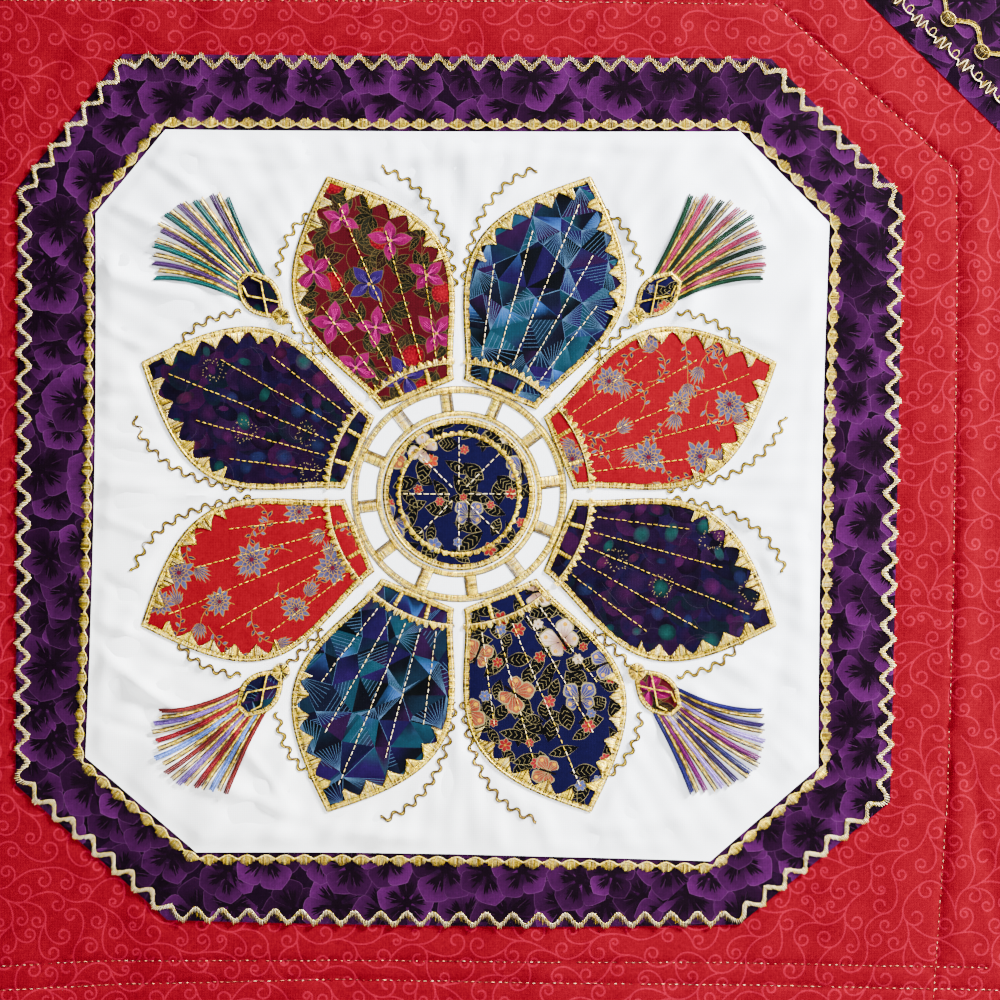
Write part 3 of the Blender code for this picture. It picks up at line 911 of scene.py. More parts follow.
def maroon_print(outline, seed):
    """Clusters of dark veined leaves on curling stems, berries and four-petalled flowers."""
    dice = random.Random(seed)
    shapes = Print()
    gold = linear("#40351B")
    leaves = inks("#0B0B06", "#10100A", "#060704", "#15110A", "#120706")
    for place in scattered(outline, 15 * MM, dice, 0.35, 6 * MM):
        turn = dice.uniform(0, TAU)
        stem = curl(place, turn + math.pi, dice.uniform(-90, 90), dice.uniform(10, 20) * MM, 1.2, 10)
        shapes.add(ribbon(stem, 0.22 * MM), gold)
        for i in range(dice.choice((3, 3, 4, 5))):
            angle = turn + (i - 1.5) * 0.75 + dice.uniform(-0.15, 0.15)
            length = dice.uniform(8, 13) * MM
            half = length * dice.uniform(0.19, 0.26)
            shapes.add_edged(
                place, angle, (length, half), (length - 0.3 * MM, half - 0.22 * MM),
                (1.0, 8, 0.12), gold, dice.choice(leaves))
            along = direction(angle + 0.06)
            shapes.add(ribbon([place, place + along * length * 0.85], 0.16 * MM), gold)
            for step in (0.3, 0.48, 0.66):
                root = place + along * length * step
                for side in (-0.7, 0.7):
                    tip = root + direction(angle + side) * half * 0.8
                    shapes.add(ribbon([root, tip], 0.12 * MM), gold)
    berry = linear("#5D000D")
    berry_light = linear("#840015")
    for place in scattered(outline, 34 * MM, dice, 0.35, 2 * MM):
        size = dice.uniform(5.0, 6.4)
        shapes.add(disc(place, (size + 0.2) * MM, 18), gold)
        shapes.add(disc(place, size * MM, 18), berry, linear("#38050B"), place, 6.5 * MM)
        for i in range(34):
            spot = place + direction(i * 2.4) * (0.94 * math.sqrt(i) * size / 5.9 * MM)
            shapes.add(disc(spot, 0.60 * MM, 6), berry_light, berry, spot, 0.8 * MM)
    kinds = [
        inks("#290218", "#5F0039", "#A3046F"), inks("#290218", "#570031", "#A3046F"),
        inks("#08021A", "#1D0B3F", "#412F6A")]
    for place in scattered(outline, 27 * MM, dice, 0.3, 5 * MM):
        deep, body, light = kinds[dice.choice((0, 0, 1, 1, 2))]
        turn = dice.uniform(0, TAU)
        size = dice.uniform(9, 12.5) * MM
        for i in range(4):
            angle = turn + TAU * i / 4 + dice.uniform(-0.2, 0.2)
            reach = size * dice.uniform(0.85, 1.1)
            shapes.add_edged(
                place, angle, (reach + 0.25 * MM, size * 0.29), (reach, size * 0.265), (0.9, 9),
                gold, deep, body, place, size * 0.8)
            for lean in (-0.2, -0.07, 0.07, 0.2):
                vein = [place, place + direction(angle + lean) * reach * dice.uniform(0.4, 0.7)]
                shapes.add(ribbon(vein, 0.14 * MM), light)
        shapes.add(disc(place, 0.8 * MM, 8), linear("#8B6C00"))
    return shapes


def facet_print(outline, seed):
    """Triangular facets, some filled with fine pale lines that spread from a corner."""
    dice = random.Random(seed)
    tones = inks(
        "#04040B", "#060519", "#0C0526", "#06121E", "#0B222E", "#0E2935", "#11052C", "#160520",
        "#020304", "#030408", "#060815", "#0C0A27", "#152648", "#21447A")
    pale = linear("#314A63")
    places = scattered(outline, 13 * MM, dice, 0.45, 14 * MM)
    verts, _, faces, *_ = delaunay_2d_cdt(places, [], [], 0, 1e-6)
    shapes = Print()
    for face in faces:
        a, b, c = (verts[i] for i in face)
        shapes.add([a, b, c], dice.choice(tones), dice.choice(tones[:11]), a, 11 * MM)
    for face in faces:
        a, b, c = (verts[i] for i in face)
        chance = dice.random()
        if chance < 0.3:
            count = dice.randint(5, 9)
            for i in range(count + 1):
                shapes.add(ribbon([a, b.lerp(c, i / count)], 0.17 * MM), pale)
        elif chance < 0.55:
            for i in range(1, dice.randint(5, 8)):
                line = [a.lerp(b, i / 8), a.lerp(c, i / 8)]
                shapes.add(ribbon(line, 0.17 * MM), pale)
        elif chance < 0.8:
            shapes.add(ribbon([a, b], 0.17 * MM), pale)
    return shapes


def scarlet_print(outline, seed):
    """Thin branching stems with slate leaves, feathery sprays and many-petalled blossoms."""
    dice = random.Random(seed)
    gold = linear("#745419")
    grey = linear("#383857")
    blue = linear("#1B142F")
    shapes = Print()
    for place in scattered(outline, 23 * MM, dice, 0.4, 4 * MM):
        angle = dice.uniform(0, TAU)
        turn = dice.uniform(-0.05, 0.32)
        stem = [place]
        for i in range(10):
            angle += turn
            stem.append(stem[-1] + direction(angle) * 2.3 * MM)
        shapes.add(ribbon(stem, 0.30 * MM), gold)
        for i, knot in enumerate(stem[2:8]):
            side = 0.9 if i % 2 else -0.9
            length = dice.uniform(2.6, 4.6) * MM
            along = angle - turn * (7 - i) + side
            shapes.add_edged(
                knot, along, (length, 0.85 * MM), (length - 0.4 * MM, 0.6 * MM), (1.0, 6), gold,
                blue if i % 3 else grey)
        for i in range(9):
            lean = angle + (i - 4) * 0.24
            length = (9.5 - 0.35 * (i - 4) ** 2) * MM * dice.uniform(0.85, 1.1)
            shapes.add_edged(
                stem[-1], lean, (length, 0.62 * MM), (length - 0.5 * MM, 0.4 * MM), (1.1, 6),
                gold, blue, grey, stem[-1], length)
    for place in scattered(outline, 33 * MM, dice, 0.28, 6 * MM):
        turn = dice.uniform(0, TAU)
        size = dice.uniform(6.5, 9.5) * MM
        count = 11
        for reach, width, start in ((1.0, 0.17, 0.0), (0.72, 0.15, 0.5), (0.45, 0.11, 0.0)):
            for i in range(count):
                angle = turn + TAU * (i + start) / count
                length = size * reach * dice.uniform(0.8, 1.12)
                inner = (length - 0.45 * MM, size * width - 0.3 * MM)
                shapes.add_edged(
                    place, angle, (length, size * width), inner, (1.5, 7), gold, blue, grey, place,
                    size * 0.95)
        shapes.add(disc(place, size * 0.13, 8), linear("#400715"))
    return shapes


def plum_print(outline, seed):
    """Overlapping blots, some brighter, with thin curls and rings of pale dots."""
    dice = random.Random(seed)
    tones = inks(
        "#090213", "#100217", "#04020A", "#14041C", "#060319", "#040911", "#030106", "#1C031E",
        "#050312", "#0A0214")
    shapes = Print()
    for place in scattered(outline, 9 * MM, dice, 0.45, 5 * MM):
        size = dice.uniform(5, 10) * MM
        shapes.add(
            disc(place, size, 12, dice.uniform(0.5, 0.9), dice.uniform(0, TAU)), dice.choice(tones),
            dice.choice(tones), place, size)
    bright = inks("#072B29", "#280527", "#0E142F", "#2A051F")
    for place in scattered(outline, 15 * MM, dice, 0.45, 3 * MM):
        size = dice.uniform(2.6, 5.4) * MM
        shapes.add(
            disc(place, size, 10, dice.uniform(0.45, 0.9), dice.uniform(0, TAU)),
            dice.choice(bright), dice.choice(tones), place, size * 1.25)
    thread = linear("#211928")
    for place in scattered(outline, 17 * MM, dice, 0.45, 3 * MM):
        line = curl(place, dice.uniform(0, TAU), dice.uniform(-180, 180), 14 * MM, 0.8, 12)
        shapes.add(ribbon(line, 0.14 * MM), thread)
    cream = linear("#655734")
    for place in scattered(outline, 38 * MM, dice, 0.35, 3 * MM):
        turn = dice.uniform(0, TAU)
        for i in range(30):
            angle = turn + TAU * i / 30 + dice.uniform(-0.1, 0.1)
            spot = place + direction(angle) * dice.uniform(3.2, 6.4) * MM
            shapes.add(disc(spot, 0.42 * MM, 6, 0.5, angle), cream)
    return shapes


def butterfly(place, angle, size, cream, wing_tones):
    shapes = Print()
    for side in (-1.0, 1.0):
        for spread, reach, width in ((0.75, 1.0, 0.40), (1.95, 0.72, 0.34)):
            lean = angle + side * spread
            inner = (size * reach * 0.94, size * width * 0.82)
            shapes.add_edged(
                place, lean, (size * reach, size * width), inner, (1.6, 8), cream, *wing_tones,
                place, size * 0.8)
            for vein in (-0.25, 0.0, 0.25):
                tip = place + direction(lean + vein) * size * reach * 0.82
                shapes.add(ribbon([place, tip], 0.2 * MM), cream)
            spot = place + direction(lean) * size * reach * 0.72
            shapes.add(disc(spot, size * 0.10, 7), linear("#9D7101"))
    body = ribbon([place - direction(angle) * size * 0.45, place + direction(angle) * size * 0.4],
                  size * 0.12)
    shapes.add(body, linear("#070404"))
    return shapes


def navy_print(outline, seed):
    """Black leaves with pale veins, small blossoms and butterflies."""
    dice = random.Random(seed)
    cream = linear("#6F6540")
    shapes = Print()
    for place in scattered(outline, 10 * MM, dice, 0.45, 4 * MM):
        angle = dice.uniform(0, TAU)
        length = dice.uniform(9, 16) * MM
        half = dice.uniform(2.4, 4.2) * MM
        shapes.add_edged(
            place, angle, (length, half), (length - 0.25 * MM, half - 0.16 * MM), (1.1, 8), cream,
            linear("#020203"))
        for side in (-1.0, 1.0):
            for step in (0.25, 0.42, 0.59, 0.76):
                root = place + direction(angle) * length * step
                tip = root + direction(angle + side * 0.9) * half * 0.8 * math.sin(math.pi * step)
                shapes.add(ribbon([root, tip], 0.13 * MM), cream)
    blossom_tones = inks("#5A0A10", "#7A1C0C", "#A1907D", "#670D18", "#2C3461")
    for place in scattered(outline, 17 * MM, dice, 0.45, 3 * MM):
        turn = dice.uniform(0, TAU)
        size = dice.uniform(2.0, 3.8) * MM
        tone = dice.choice(blossom_tones)
        for i in range(6):
            angle = turn + TAU * i / 6
            shapes.add_edged(
                place, angle, (size + 0.2 * MM, size * 0.36), (size, size * 0.30), (1.5, 6), cream,
                tone)
        shapes.add(disc(place, size * 0.2, 7), linear("#785300"))
    wing_tones = [
        inks("#5A070D", "#AD988E"), inks("#550D0F", "#6E3521"), inks("#0A052B", "#2F2F5D")]
    for place in scattered(outline, 33 * MM, dice, 0.25, 4 * MM):
        shapes += butterfly(
            place, dice.uniform(0, TAU), dice.uniform(9, 12) * MM, cream, dice.choice(wing_tones))
    return shapes


# Thread work. Stitches are gathered as lines of points in space, and one node tree sews them all.

class Threads:
    """Stitches of one finish: their points, how far their middle rises, their girth and ink."""

    def __init__(self):
        self.points = []
        self.edges = []
        self.rise = []
        self.girth = []
        self.ink = []

    def add(self, points, inks, rise=0.0, girth=1.0):
        first = len(self.points)
        self.points += points
        self.edges += [(i, i + 1) for i in range(first, len(self.points) - 1)]
        self.rise += [rise] * len(points)
        self.girth += [girth] * len(points)
        self.ink += inks


def sewing_tree():
    """Turns each line of points into a thread that rises from the cloth and dips back into it."""
    tree = bpy.data.node_groups.new("sewn_threads", "GeometryNodeTree")
    for name, kind in (
            ("Stitches", "Geometry"), ("Arched", "Bool"), ("Points on an arch", "Int"),
            ("Sides of a thread", "Int"), ("Thread radius", "Float"), ("Taper", "Float"),
            ("Finish", "Material")):
        tree.interface.new_socket(name, in_out="INPUT", socket_type="NodeSocket" + kind)
    tree.interface.new_socket("Threads", in_out="OUTPUT", socket_type="NodeSocketGeometry")
    start = add_node(tree, "NodeGroupInput")
    curve = add_node(tree, "GeometryNodeMeshToCurve", {"Mesh": start.outputs["Stitches"]})
    even = add_node(tree, "GeometryNodeResampleCurve", {
        "Curve": curve.outputs[0], "Count": start.outputs["Points on an arch"]})
    laid = add_node(tree, "GeometryNodeSwitch", {
        "Switch": start.outputs["Arched"], "False": curve.outputs[0], "True": even.outputs[0]},
        input_type="GEOMETRY")
    share = add_node(tree, "GeometryNodeSplineParameter").outputs["Factor"]
    back = add_node(tree, "ShaderNodeMath", {0: 1.0, 1: share}, operation="SUBTRACT")
    hump = add_node(tree, "ShaderNodeMath", {0: share, 1: back.outputs[0]}, operation="MULTIPLY")
    hump = add_node(tree, "ShaderNodeMath", {0: hump.outputs[0], 1: 4.0}, operation="MULTIPLY")
    round_hump = add_node(tree, "ShaderNodeMath", {0: hump.outputs[0], 1: 0.6}, operation="POWER")
    rise = add_node(tree, "GeometryNodeInputNamedAttribute", {"Name": "rise"})
    height = add_node(tree, "ShaderNodeMath", {
        0: round_hump.outputs[0], 1: rise.outputs[0]}, operation="MULTIPLY")
    outward = add_node(tree, "ShaderNodeMath", {0: height.outputs[0], 1: -1.0}, operation="MULTIPLY")
    offset = add_node(tree, "ShaderNodeCombineXYZ", {"Y": outward.outputs[0]})
    raised = add_node(tree, "GeometryNodeSetPosition", {
        "Geometry": laid.outputs[0], "Offset": offset.outputs[0]})
    girth = add_node(tree, "GeometryNodeInputNamedAttribute", {"Name": "girth"})
    slim = add_node(tree, "ShaderNodeMath", {0: 1.0, 1: hump.outputs[0]}, operation="SUBTRACT")
    slim = add_node(tree, "ShaderNodeMath", {
        0: slim.outputs[0], 1: start.outputs["Taper"]}, operation="MULTIPLY")
    slim = add_node(tree, "ShaderNodeMath", {0: 1.0, 1: slim.outputs[0]}, operation="SUBTRACT")
    thick = add_node(tree, "ShaderNodeMath", {
        0: slim.outputs[0], 1: girth.outputs[0]}, operation="MULTIPLY")
    section = add_node(tree, "GeometryNodeCurvePrimitiveCircle", {
        "Resolution": start.outputs["Sides of a thread"], "Radius": start.outputs["Thread radius"]})
    tube = add_node(tree, "GeometryNodeCurveToMesh", {
        "Curve": raised.outputs[0], "Profile Curve": section.outputs[0], "Scale": thick.outputs[0],
        "Fill Caps": True})
    real = add_node(tree, "GeometryNodeRealizeInstances", {"Geometry": tube.outputs[0]})
    dressed = add_node(tree, "GeometryNodeSetMaterial", {
        "Geometry": real.outputs[0], "Material": start.outputs["Finish"]})
    add_node(tree, "NodeGroupOutput", {"Threads": dressed.outputs[0]})
    return tree


def add_node(tree, kind, inputs=None, **settings):
    """Adds a node with its settings; an input is a value, or a socket that is linked to it."""
    node = tree.nodes.new(kind)
    for name, value in settings.items():
        setattr(node, name, value)
    for key, value in (inputs or {}).items():
        if isinstance(value, bpy.types.NodeSocket):
            tree.links.new(value, node.inputs[key])
        else:
            node.inputs[key].default_value = value
    return node


def sew(name, threads, material, arched=True):
    """The threads as a piece; arched ones dip into the cloth and thin out at their ends."""
    mesh = bpy.data.meshes.new(name)
    mesh.from_pydata([tuple(p) for p in threads.points], threads.edges, [])
    for key in ("rise", "girth"):
        attribute = mesh.attributes.new(key, "FLOAT", "POINT")
        attribute.data.foreach_set("value", getattr(threads, key))
    inks = np.ones((len(threads.ink), 4))
    inks[:, :3] = threads.ink
    mesh.attributes.new("ink", "FLOAT_COLOR", "POINT").data.foreach_set("color", inks.ravel())
    guide = link(name + "_guide", mesh)
    modifier = guide.modifiers.new("sewing", "NODES")
    modifier.node_group = SEWING
    values = {
        "Arched": arched, "Points on an arch": 4, "Sides of a thread": 3, "Thread radius": THREAD,
        "Taper": 0.35 if arched else 0.0, "Finish": material}
    for item in SEWING.interface.items_tree:
        if item.in_out == "INPUT" and item.name in values:
            modifier[item.identifier] = values[item.name]
    bpy.context.view_layer.update()
    evaluated = guide.evaluated_get(bpy.context.evaluated_depsgraph_get())
    result = bpy.data.meshes.new_from_object(evaluated)
    result.name = name
    bpy.data.objects.remove(guide, do_unlink=True)
    result.shade_smooth()
    return link(name, result)


def walk(line, pitch, closed=False, start=0.0):
    """Points every pitch along a line, each with its direction and its distance from the start."""
    points = line + line[:1] if closed else line
    lengths = [(b - a).length for a, b in zip(points, points[1:])]
    total = sum(lengths)
    count = max(1, round((total - start) / pitch))
    step = (total - start) / count
    result = []
    index, passed = 0, 0.0
    for i in range(count if closed else count + 1):
        goal = start + i * step
        while index < len(lengths) - 1 and passed + lengths[index] < goal:
            passed += lengths[index]
            index += 1
        a, b = points[index], points[index + 1]
        t = (goal - passed) / lengths[index] if lengths[index] else 0.0
        result.append((a.lerp(b, min(t, 1.0)), (b - a).normalized(), goal))
    return result


def on_cloth(points, front, above=0.0):
    """Points in the plane of the cloth as points in space, on its front."""
    x = np.array([p.x for p in points])
    z = np.array([p.y for p in points])
    y = front(x, z) + above
    return [Vector((a, -b, c)) for a, b, c in zip(x.tolist(), y.tolist(), z.tolist())]


# The darker gold palettes stand for darker thread, and also for painted shade where a row below says so; the
# brighter ones and CREAM also for painted highlight.
BRIGHT_GOLD = inks("#E7D286", "#EBCA00", "#EAC701", "#E2C76D", "#E5CB7E")
HATCHED_GOLD = inks("#372A16", "#49391D", "#6F561C", "#AC8A01", "#2E2210", "#584822")
FULL_GOLD = inks("#EDC900", "#C7A600", "#A08101", "#E9D439", "#7A601F", "#E6BF00")
DEEP_GOLD = inks("#372913", "#45331A", "#281D0C", "#523B1C")
CREAM = inks("#E9D0A4", "#E9D597", "#EBDDB5", "#E3C778")
RIB_GOLD = inks("#C9A500", "#A38302", "#EECF01")
FADED_PINK = inks("#EB8C62", "#CB684C", "#E7A280", "#AD523F")
# Painted shade: the dark colour of the shadow in a quilting ditch.
PAINTED_DITCH_SHADE = inks("#2F1B11", "#27170F", "#381E15")


def jitter(amount):
    return rng.uniform(-amount, amount)


def lay(threads, pairs, front, palette, rise=0.35 * MM, girth=1.12, above=0.0, ends=None):
    """Straight stitches between pairs of points, on the front of a cloth; each may turn to
    another palette's ink at its end."""
    placed = on_cloth([p for pair in pairs for p in pair], front, above)
    for start, end in zip(placed[::2], placed[1::2]):
        ink = rng.choice(palette)
        last = rng.choice(ends) if ends else ink
        threads.add([start, end], [ink, last], rise * rng.uniform(0.85, 1.15), girth)


def couch(threads, line, front, palette, girth=1.0, above=0.2 * MM, closed=False):
    """One unbroken thread along a line."""
    placed = on_cloth(line, front, above)
    if closed:
        placed.append(placed[0])
    threads.add(placed, [rng.choice(palette) for _ in placed], 0.0, girth)


def beside(line, across, closed=False, pitch=0.7 * MM):
    """The line at a distance to the right of another; the distance may change along it."""
    result = []
    for point, along, distance in walk(line, pitch, closed):
        result.append(point + right_of(along) * value_at(across, distance))
    return result


def satin_row(line, near, far, closed=False, pitch=SATIN_PITCH, rough=0.12 * MM):
    """Pairs of points across a line, at two distances to its right that may change along it."""
    pairs = []
    for point, along, distance in walk(line, pitch, closed):
        right = right_of(along)
        first, last = value_at(near, distance), value_at(far, distance)
        if abs(last - first) > 0.3 * MM:
            first_end = point + right * (first + jitter(rough))
            pairs.append((first_end, point + right * (last + jitter(rough))))
    return pairs


def rounded(outline):
    """A closed line with its corners eased, for a row of stitches to run along."""
    line = np.array([tuple(p) for p, _, _ in walk(outline, 1.0 * MM, True)])
    reach = 5
    shifted = [np.roll(line, shift, axis=0) for shift in range(-reach, reach + 1)]
    eased = sum(shifted) / len(shifted)
    return [Vector(p) for p in eased.tolist()]


def clockwise(outline):
    return counter_clockwise(outline)[::-1]


def length_of(line, closed=False):
    points = line + line[:1] if closed else line
    return sum((b - a).length for a, b in zip(points, points[1:]))


# Rows on the frame

def frame_wave(arches, lines):
    """A satin wave with a bright inner brink, which is painted highlight. It is pale where the row runs
    upright and dark where it runs level, painted highlight and painted shade, and there dark strokes over it
    add painted shade."""
    row = rounded(clockwise(inset(FRAME_OUTLINE, 4.5 * MM)))
    total = length_of(row, True)
    wavelength = total / round(total / (13.2 * MM))

    def low(s):
        return 2.7 * MM * math.sin(TAU * s / wavelength)

    def high(s):
        return max(-4.4 * MM, min(low(s) - 1.5 * MM, low(s - 3.9 * MM) - 0.4 * MM))

    def is_level(pair):
        """Whether the row runs level, so that its stitches stand upright."""
        return abs((pair[1] - pair[0]).normalized().y) > 0.9

    band = satin_row(row, lambda s: low(s) - 2.8 * MM, low, True, 0.8 * MM, 0.45 * MM)
    upright = [pair for pair in band if not is_level(pair)]
    # Painted highlight: upright stitches pale, turning to cream at their inner end.
    lay(arches, upright, strip_front, CREAM + BRIGHT_GOLD + HATCHED_GOLD[2:4], 0.5 * MM, 0.95,
        0.1 * MM, CREAM)
    level = [pair for pair in band if is_level(pair)]
    # Painted shade: level stitches dark, with a painted highlight in cream at their inner end.
    lay(arches, level, strip_front, HATCHED_GOLD, 0.5 * MM, 0.9, 0.1 * MM, CREAM)
    # Painted shade: dark strokes laid over the level runs.
    strokes = [
        pair for pair in satin_row(row, high, low, True, 0.8 * MM, 0.5 * MM) if is_level(pair)]
    lay(arches, strokes, strip_front, DEEP_GOLD + HATCHED_GOLD, 0.3 * MM, 0.75, 0.0, HATCHED_GOLD)
    # Painted highlight: a pale line along the inner brink.
    edging = beside(row, lambda s: low(s) - 0.2 * MM, True, 0.6 * MM)
    couch(lines, edging, strip_front, CREAM + FULL_GOLD, 0.6, 0.25 * MM, True)


def frame_beads(arches, lines):
    """A row of lens shapes in satin, dark at their outer side as painted shade and bright by the panel as
    painted highlight, joined by a thin bright line that is painted highlight too.
    """
    row = rounded(clockwise(inset(PANEL_OUTLINE, -3.4 * MM)))
    total = length_of(row, True)
    pitch = total / round(total / (9.5 * MM))

    def half(s):
        return 0.35 * MM + 2.2 * MM * max(0.0, math.sin(math.pi * ((s / pitch) % 1.0))) ** 1.2

    beads = satin_row(
        row, lambda s: -1.15 * half(s), lambda s: 0.85 * half(s), True, 0.62 * MM, 0.35 * MM)
    # Painted shade and highlight: each stitch dark at its outer end and bright at its end by the panel.
    lay(arches, beads, strip_front, HATCHED_GOLD + FULL_GOLD[2:5], 0.5 * MM, 0.85, 0.0,
        2 * BRIGHT_GOLD + FULL_GOLD)
    # Painted highlight: a bright line along the panel's side of the beads.
    edging = beside(row, lambda s: 0.85 * half(s) - 0.2 * MM, True)
    couch(lines, edging, strip_front, BRIGHT_GOLD, 1.2, 0.35 * MM, True)


def patch_rows(arches, lines):
    """Rows across the corner patch: zigzag clusters with loops, and ovals on a stepped band."""
    start = Vector((PATCH_TOP_X, -0.005))
    end = Vector((0.265, PATCH_SIDE_Z))
    along = (end - start).normalized()
    inward = left_of(along)
    first = [start + (inward + along) * 11 * MM, end + (inward - along) * 11 * MM]
    period = 16 * MM

    def cluster(s):
        place = (s / period) % 1.0
        return 3.4 * MM * math.sin(math.pi * place / 0.5) ** 0.6 if place < 0.5 else 0.0

    def zigzag(s):
        place = (s / period) % 1.0
        if place < 0.5:
            return 3.0 * MM * math.sin(TAU * place / 0.25)
        return 1.3 * MM * math.sin(math.pi * (place - 0.5) / 0.5)

    strokes = satin_row(first, lambda s: -cluster(s), cluster, False, 0.8 * MM, 0.5 * MM)
    lay(arches, strokes, patch_front, DEEP_GOLD + HATCHED_GOLD, 0.35 * MM, 0.75)
    couch(lines, beside(first, zigzag), patch_front, CREAM, 1.15, 0.5 * MM)
    for count in range(int(length_of(first) / period)):
        middle_of_loop = first[0].lerp(first[1], (count + 0.78) * period / length_of(first))
        ring = [
            middle_of_loop + along * 1.5 * MM * math.cos(a) + inward * (0.8 + 2.2 * math.sin(a)) * MM
            for a in (TAU * i / 16 for i in range(16))]
        couch(lines, ring, patch_front, BRIGHT_GOLD, 0.8, 0.35 * MM, True)
    second = [start + (inward + along * 1.05) * 26 * MM, end + (inward - along * 1.05) * 26 * MM]
    step = 23.5 * MM

    def middle(s):
        return 3.0 * MM * math.sin(TAU * s / step)

    for across, palette, girth in (
            (-0.9, HATCHED_GOLD, 1.6), (0.0, FULL_GOLD, 1.9), (0.9, BRIGHT_GOLD, 1.6)):
        couch(lines, beside(second, lambda s: middle(s) + across * MM), patch_front, palette, girth,
              0.3 * MM)
    run = length_of(second)
    for count in range(int(run / step + 0.5)):
        place = second[0].lerp(second[1], (count + 0.25) * step / run)
        place -= inward * 4.2 * MM
        rim = [
            place + along * 4.0 * MM * math.cos(a) + inward * 3.2 * MM * math.sin(a)
            for a in (TAU * i / 24 for i in range(24))]
        hatch = [(rim[i], rim[-i]) for i in range(1, 12)]
        lay(arches, hatch, patch_front, HATCHED_GOLD, 0.5 * MM, 1.2, 0.5 * MM)
        couch(lines, rim, patch_front, BRIGHT_GOLD, 1.5, 0.45 * MM, True)


# Rows on the flower

def radial(angle, start, end, steps=1):
    return [HUB + direction(angle) * (start + (end - start) * i / steps) for i in range(steps + 1)]


def circle(radius, steps=180):
    return [HUB + direction(-TAU * i / steps) * radius for i in range(steps)]


def satin_edge(arches, lines, outline, front, width=2.5 * MM):
    """A band of satin along an outline's inside, with dark lines along both its sides as painted shade where
    the threads' ends dip into the cloth.
    """
    line = clockwise(outline)
    satin = satin_row(line, -0.1 * MM, width, True, SATIN_PITCH, 0.25 * MM)
    lay(arches, satin, front, 3 * FULL_GOLD + BRIGHT_GOLD + DEEP_GOLD[:2])
    # The first two lines are dark, painted shade along the band's sides; the third is a bright gold line
    # over the band.
    for across, palette, girth, above in (
            (-0.15 * MM, DEEP_GOLD + FULL_GOLD[2:3], 0.75, 0.1 * MM),
            (width, DEEP_GOLD + FULL_GOLD[:3], 0.65, 0.15 * MM),
            (width * 0.36, BRIGHT_GOLD, 0.9, 0.33 * MM)):
        couch(lines, beside(line, across, True, 1.0 * MM), front, palette, girth, above, True)


def petal_points(arches, lines, outline, front):
    """Pale gold points that stand inward from a petal's edge along its outer part."""
    line = clockwise(outline)
    tooth = length_of(line, True) / round(length_of(line, True) / (12.5 * MM))
    start = 2.4 * MM

    def deep(s):
        return start + 6 * MM * abs(1.0 - 2.0 * ((s / tooth) % 1.0)) ** 1.25

    def is_outer(p):
        return (p - HUB).length > 118 * MM

    pairs = [
        pair for pair in satin_row(line, start, deep, True)
        if is_outer(pair[0]) and (pair[1] - HUB).length < PETAL_TIP - 12 * MM]
    lay(arches, pairs, front, 2 * BRIGHT_GOLD + FULL_GOLD + DEEP_GOLD[3:], 0.4 * MM, 1.12, 0.05 * MM)
    brink = beside(line, lambda s: deep(s) + 0.1 * MM, True, 0.8 * MM)
    stretch = []
    for place in brink + brink[:1]:
        if is_outer(place) and (place - HUB).length < PETAL_TIP - 12 * MM:
            stretch.append(place)
            continue
        if len(stretch) > 2:
            couch(lines, stretch, front, DEEP_GOLD, 0.7, 0.1 * MM)
        stretch = []


def petal_scallops(arches, lines, angle, front):
    """A knobbly row over a petal's base."""
    radius = 66 * MM
    half_turn = math.radians(20.5)
    arc = [HUB + direction(angle + half_turn * (1.0 - i / 12)) * radius for i in range(25)]

    def knob(s):
        return -0.6 * MM - 2.4 * MM * (1.0 - abs(2.0 * ((s / (4 * MM)) % 1.0) - 1.0)) ** 0.8

    knobs = satin_row(arc, knob, 0.9 * MM, False, SATIN_PITCH, 0.3 * MM)
    lay(arches, knobs, front, FULL_GOLD + HATCHED_GOLD[1:4] + BRIGHT_GOLD, 0.45 * MM)
    for across, palette, girth, above in ((0.5, BRIGHT_GOLD, 1.1, 0.3), (1.0, DEEP_GOLD, 0.6, 0.15)):
        couch(lines, beside(arc, across * MM), front, palette, girth, above * MM)


def petal_hems(arches, angle, front):
    """Two narrow gold rows down the sides of a petal's base."""
    for side in (-1.0, 1.0):
        row = radial(angle + side * 0.13, 57 * MM, 64 * MM)
        lay(arches, satin_row(row, -0.9 * MM, 0.9 * MM), front, FULL_GOLD)


def running_stitches(arches, line, front, pitch=3.5 * MM, share=0.68, palette=CREAM, girth=1.0):
    """A row of separate stitches, each a share of the pitch long."""
    pairs = []
    for point, along, _ in walk(line, pitch):
        half = along * pitch * share * 0.5 * rng.uniform(0.85, 1.12)
        middle = point + Vector((jitter(0.15 * MM), jitter(0.15 * MM)))
        pairs.append((middle - half, middle + half))
    lay(arches, pairs, front, palette, 0.3 * MM, girth)


def petal_running_stitches(arches, angle, front, palette):
    """Lines of running stitches that spread from a petal's base to its edge."""
    for lean in (-0.24, -0.12, 0.0, 0.12, 0.24):
        base = HUB + direction(angle + lean * 0.95) * 71 * MM
        reach = (156 - 170 * abs(lean)) * MM
        tip = HUB + direction(angle + lean) * reach
        running_stitches(arches, [base, tip], front, 3.1 * MM, 0.7, palette, 0.8)


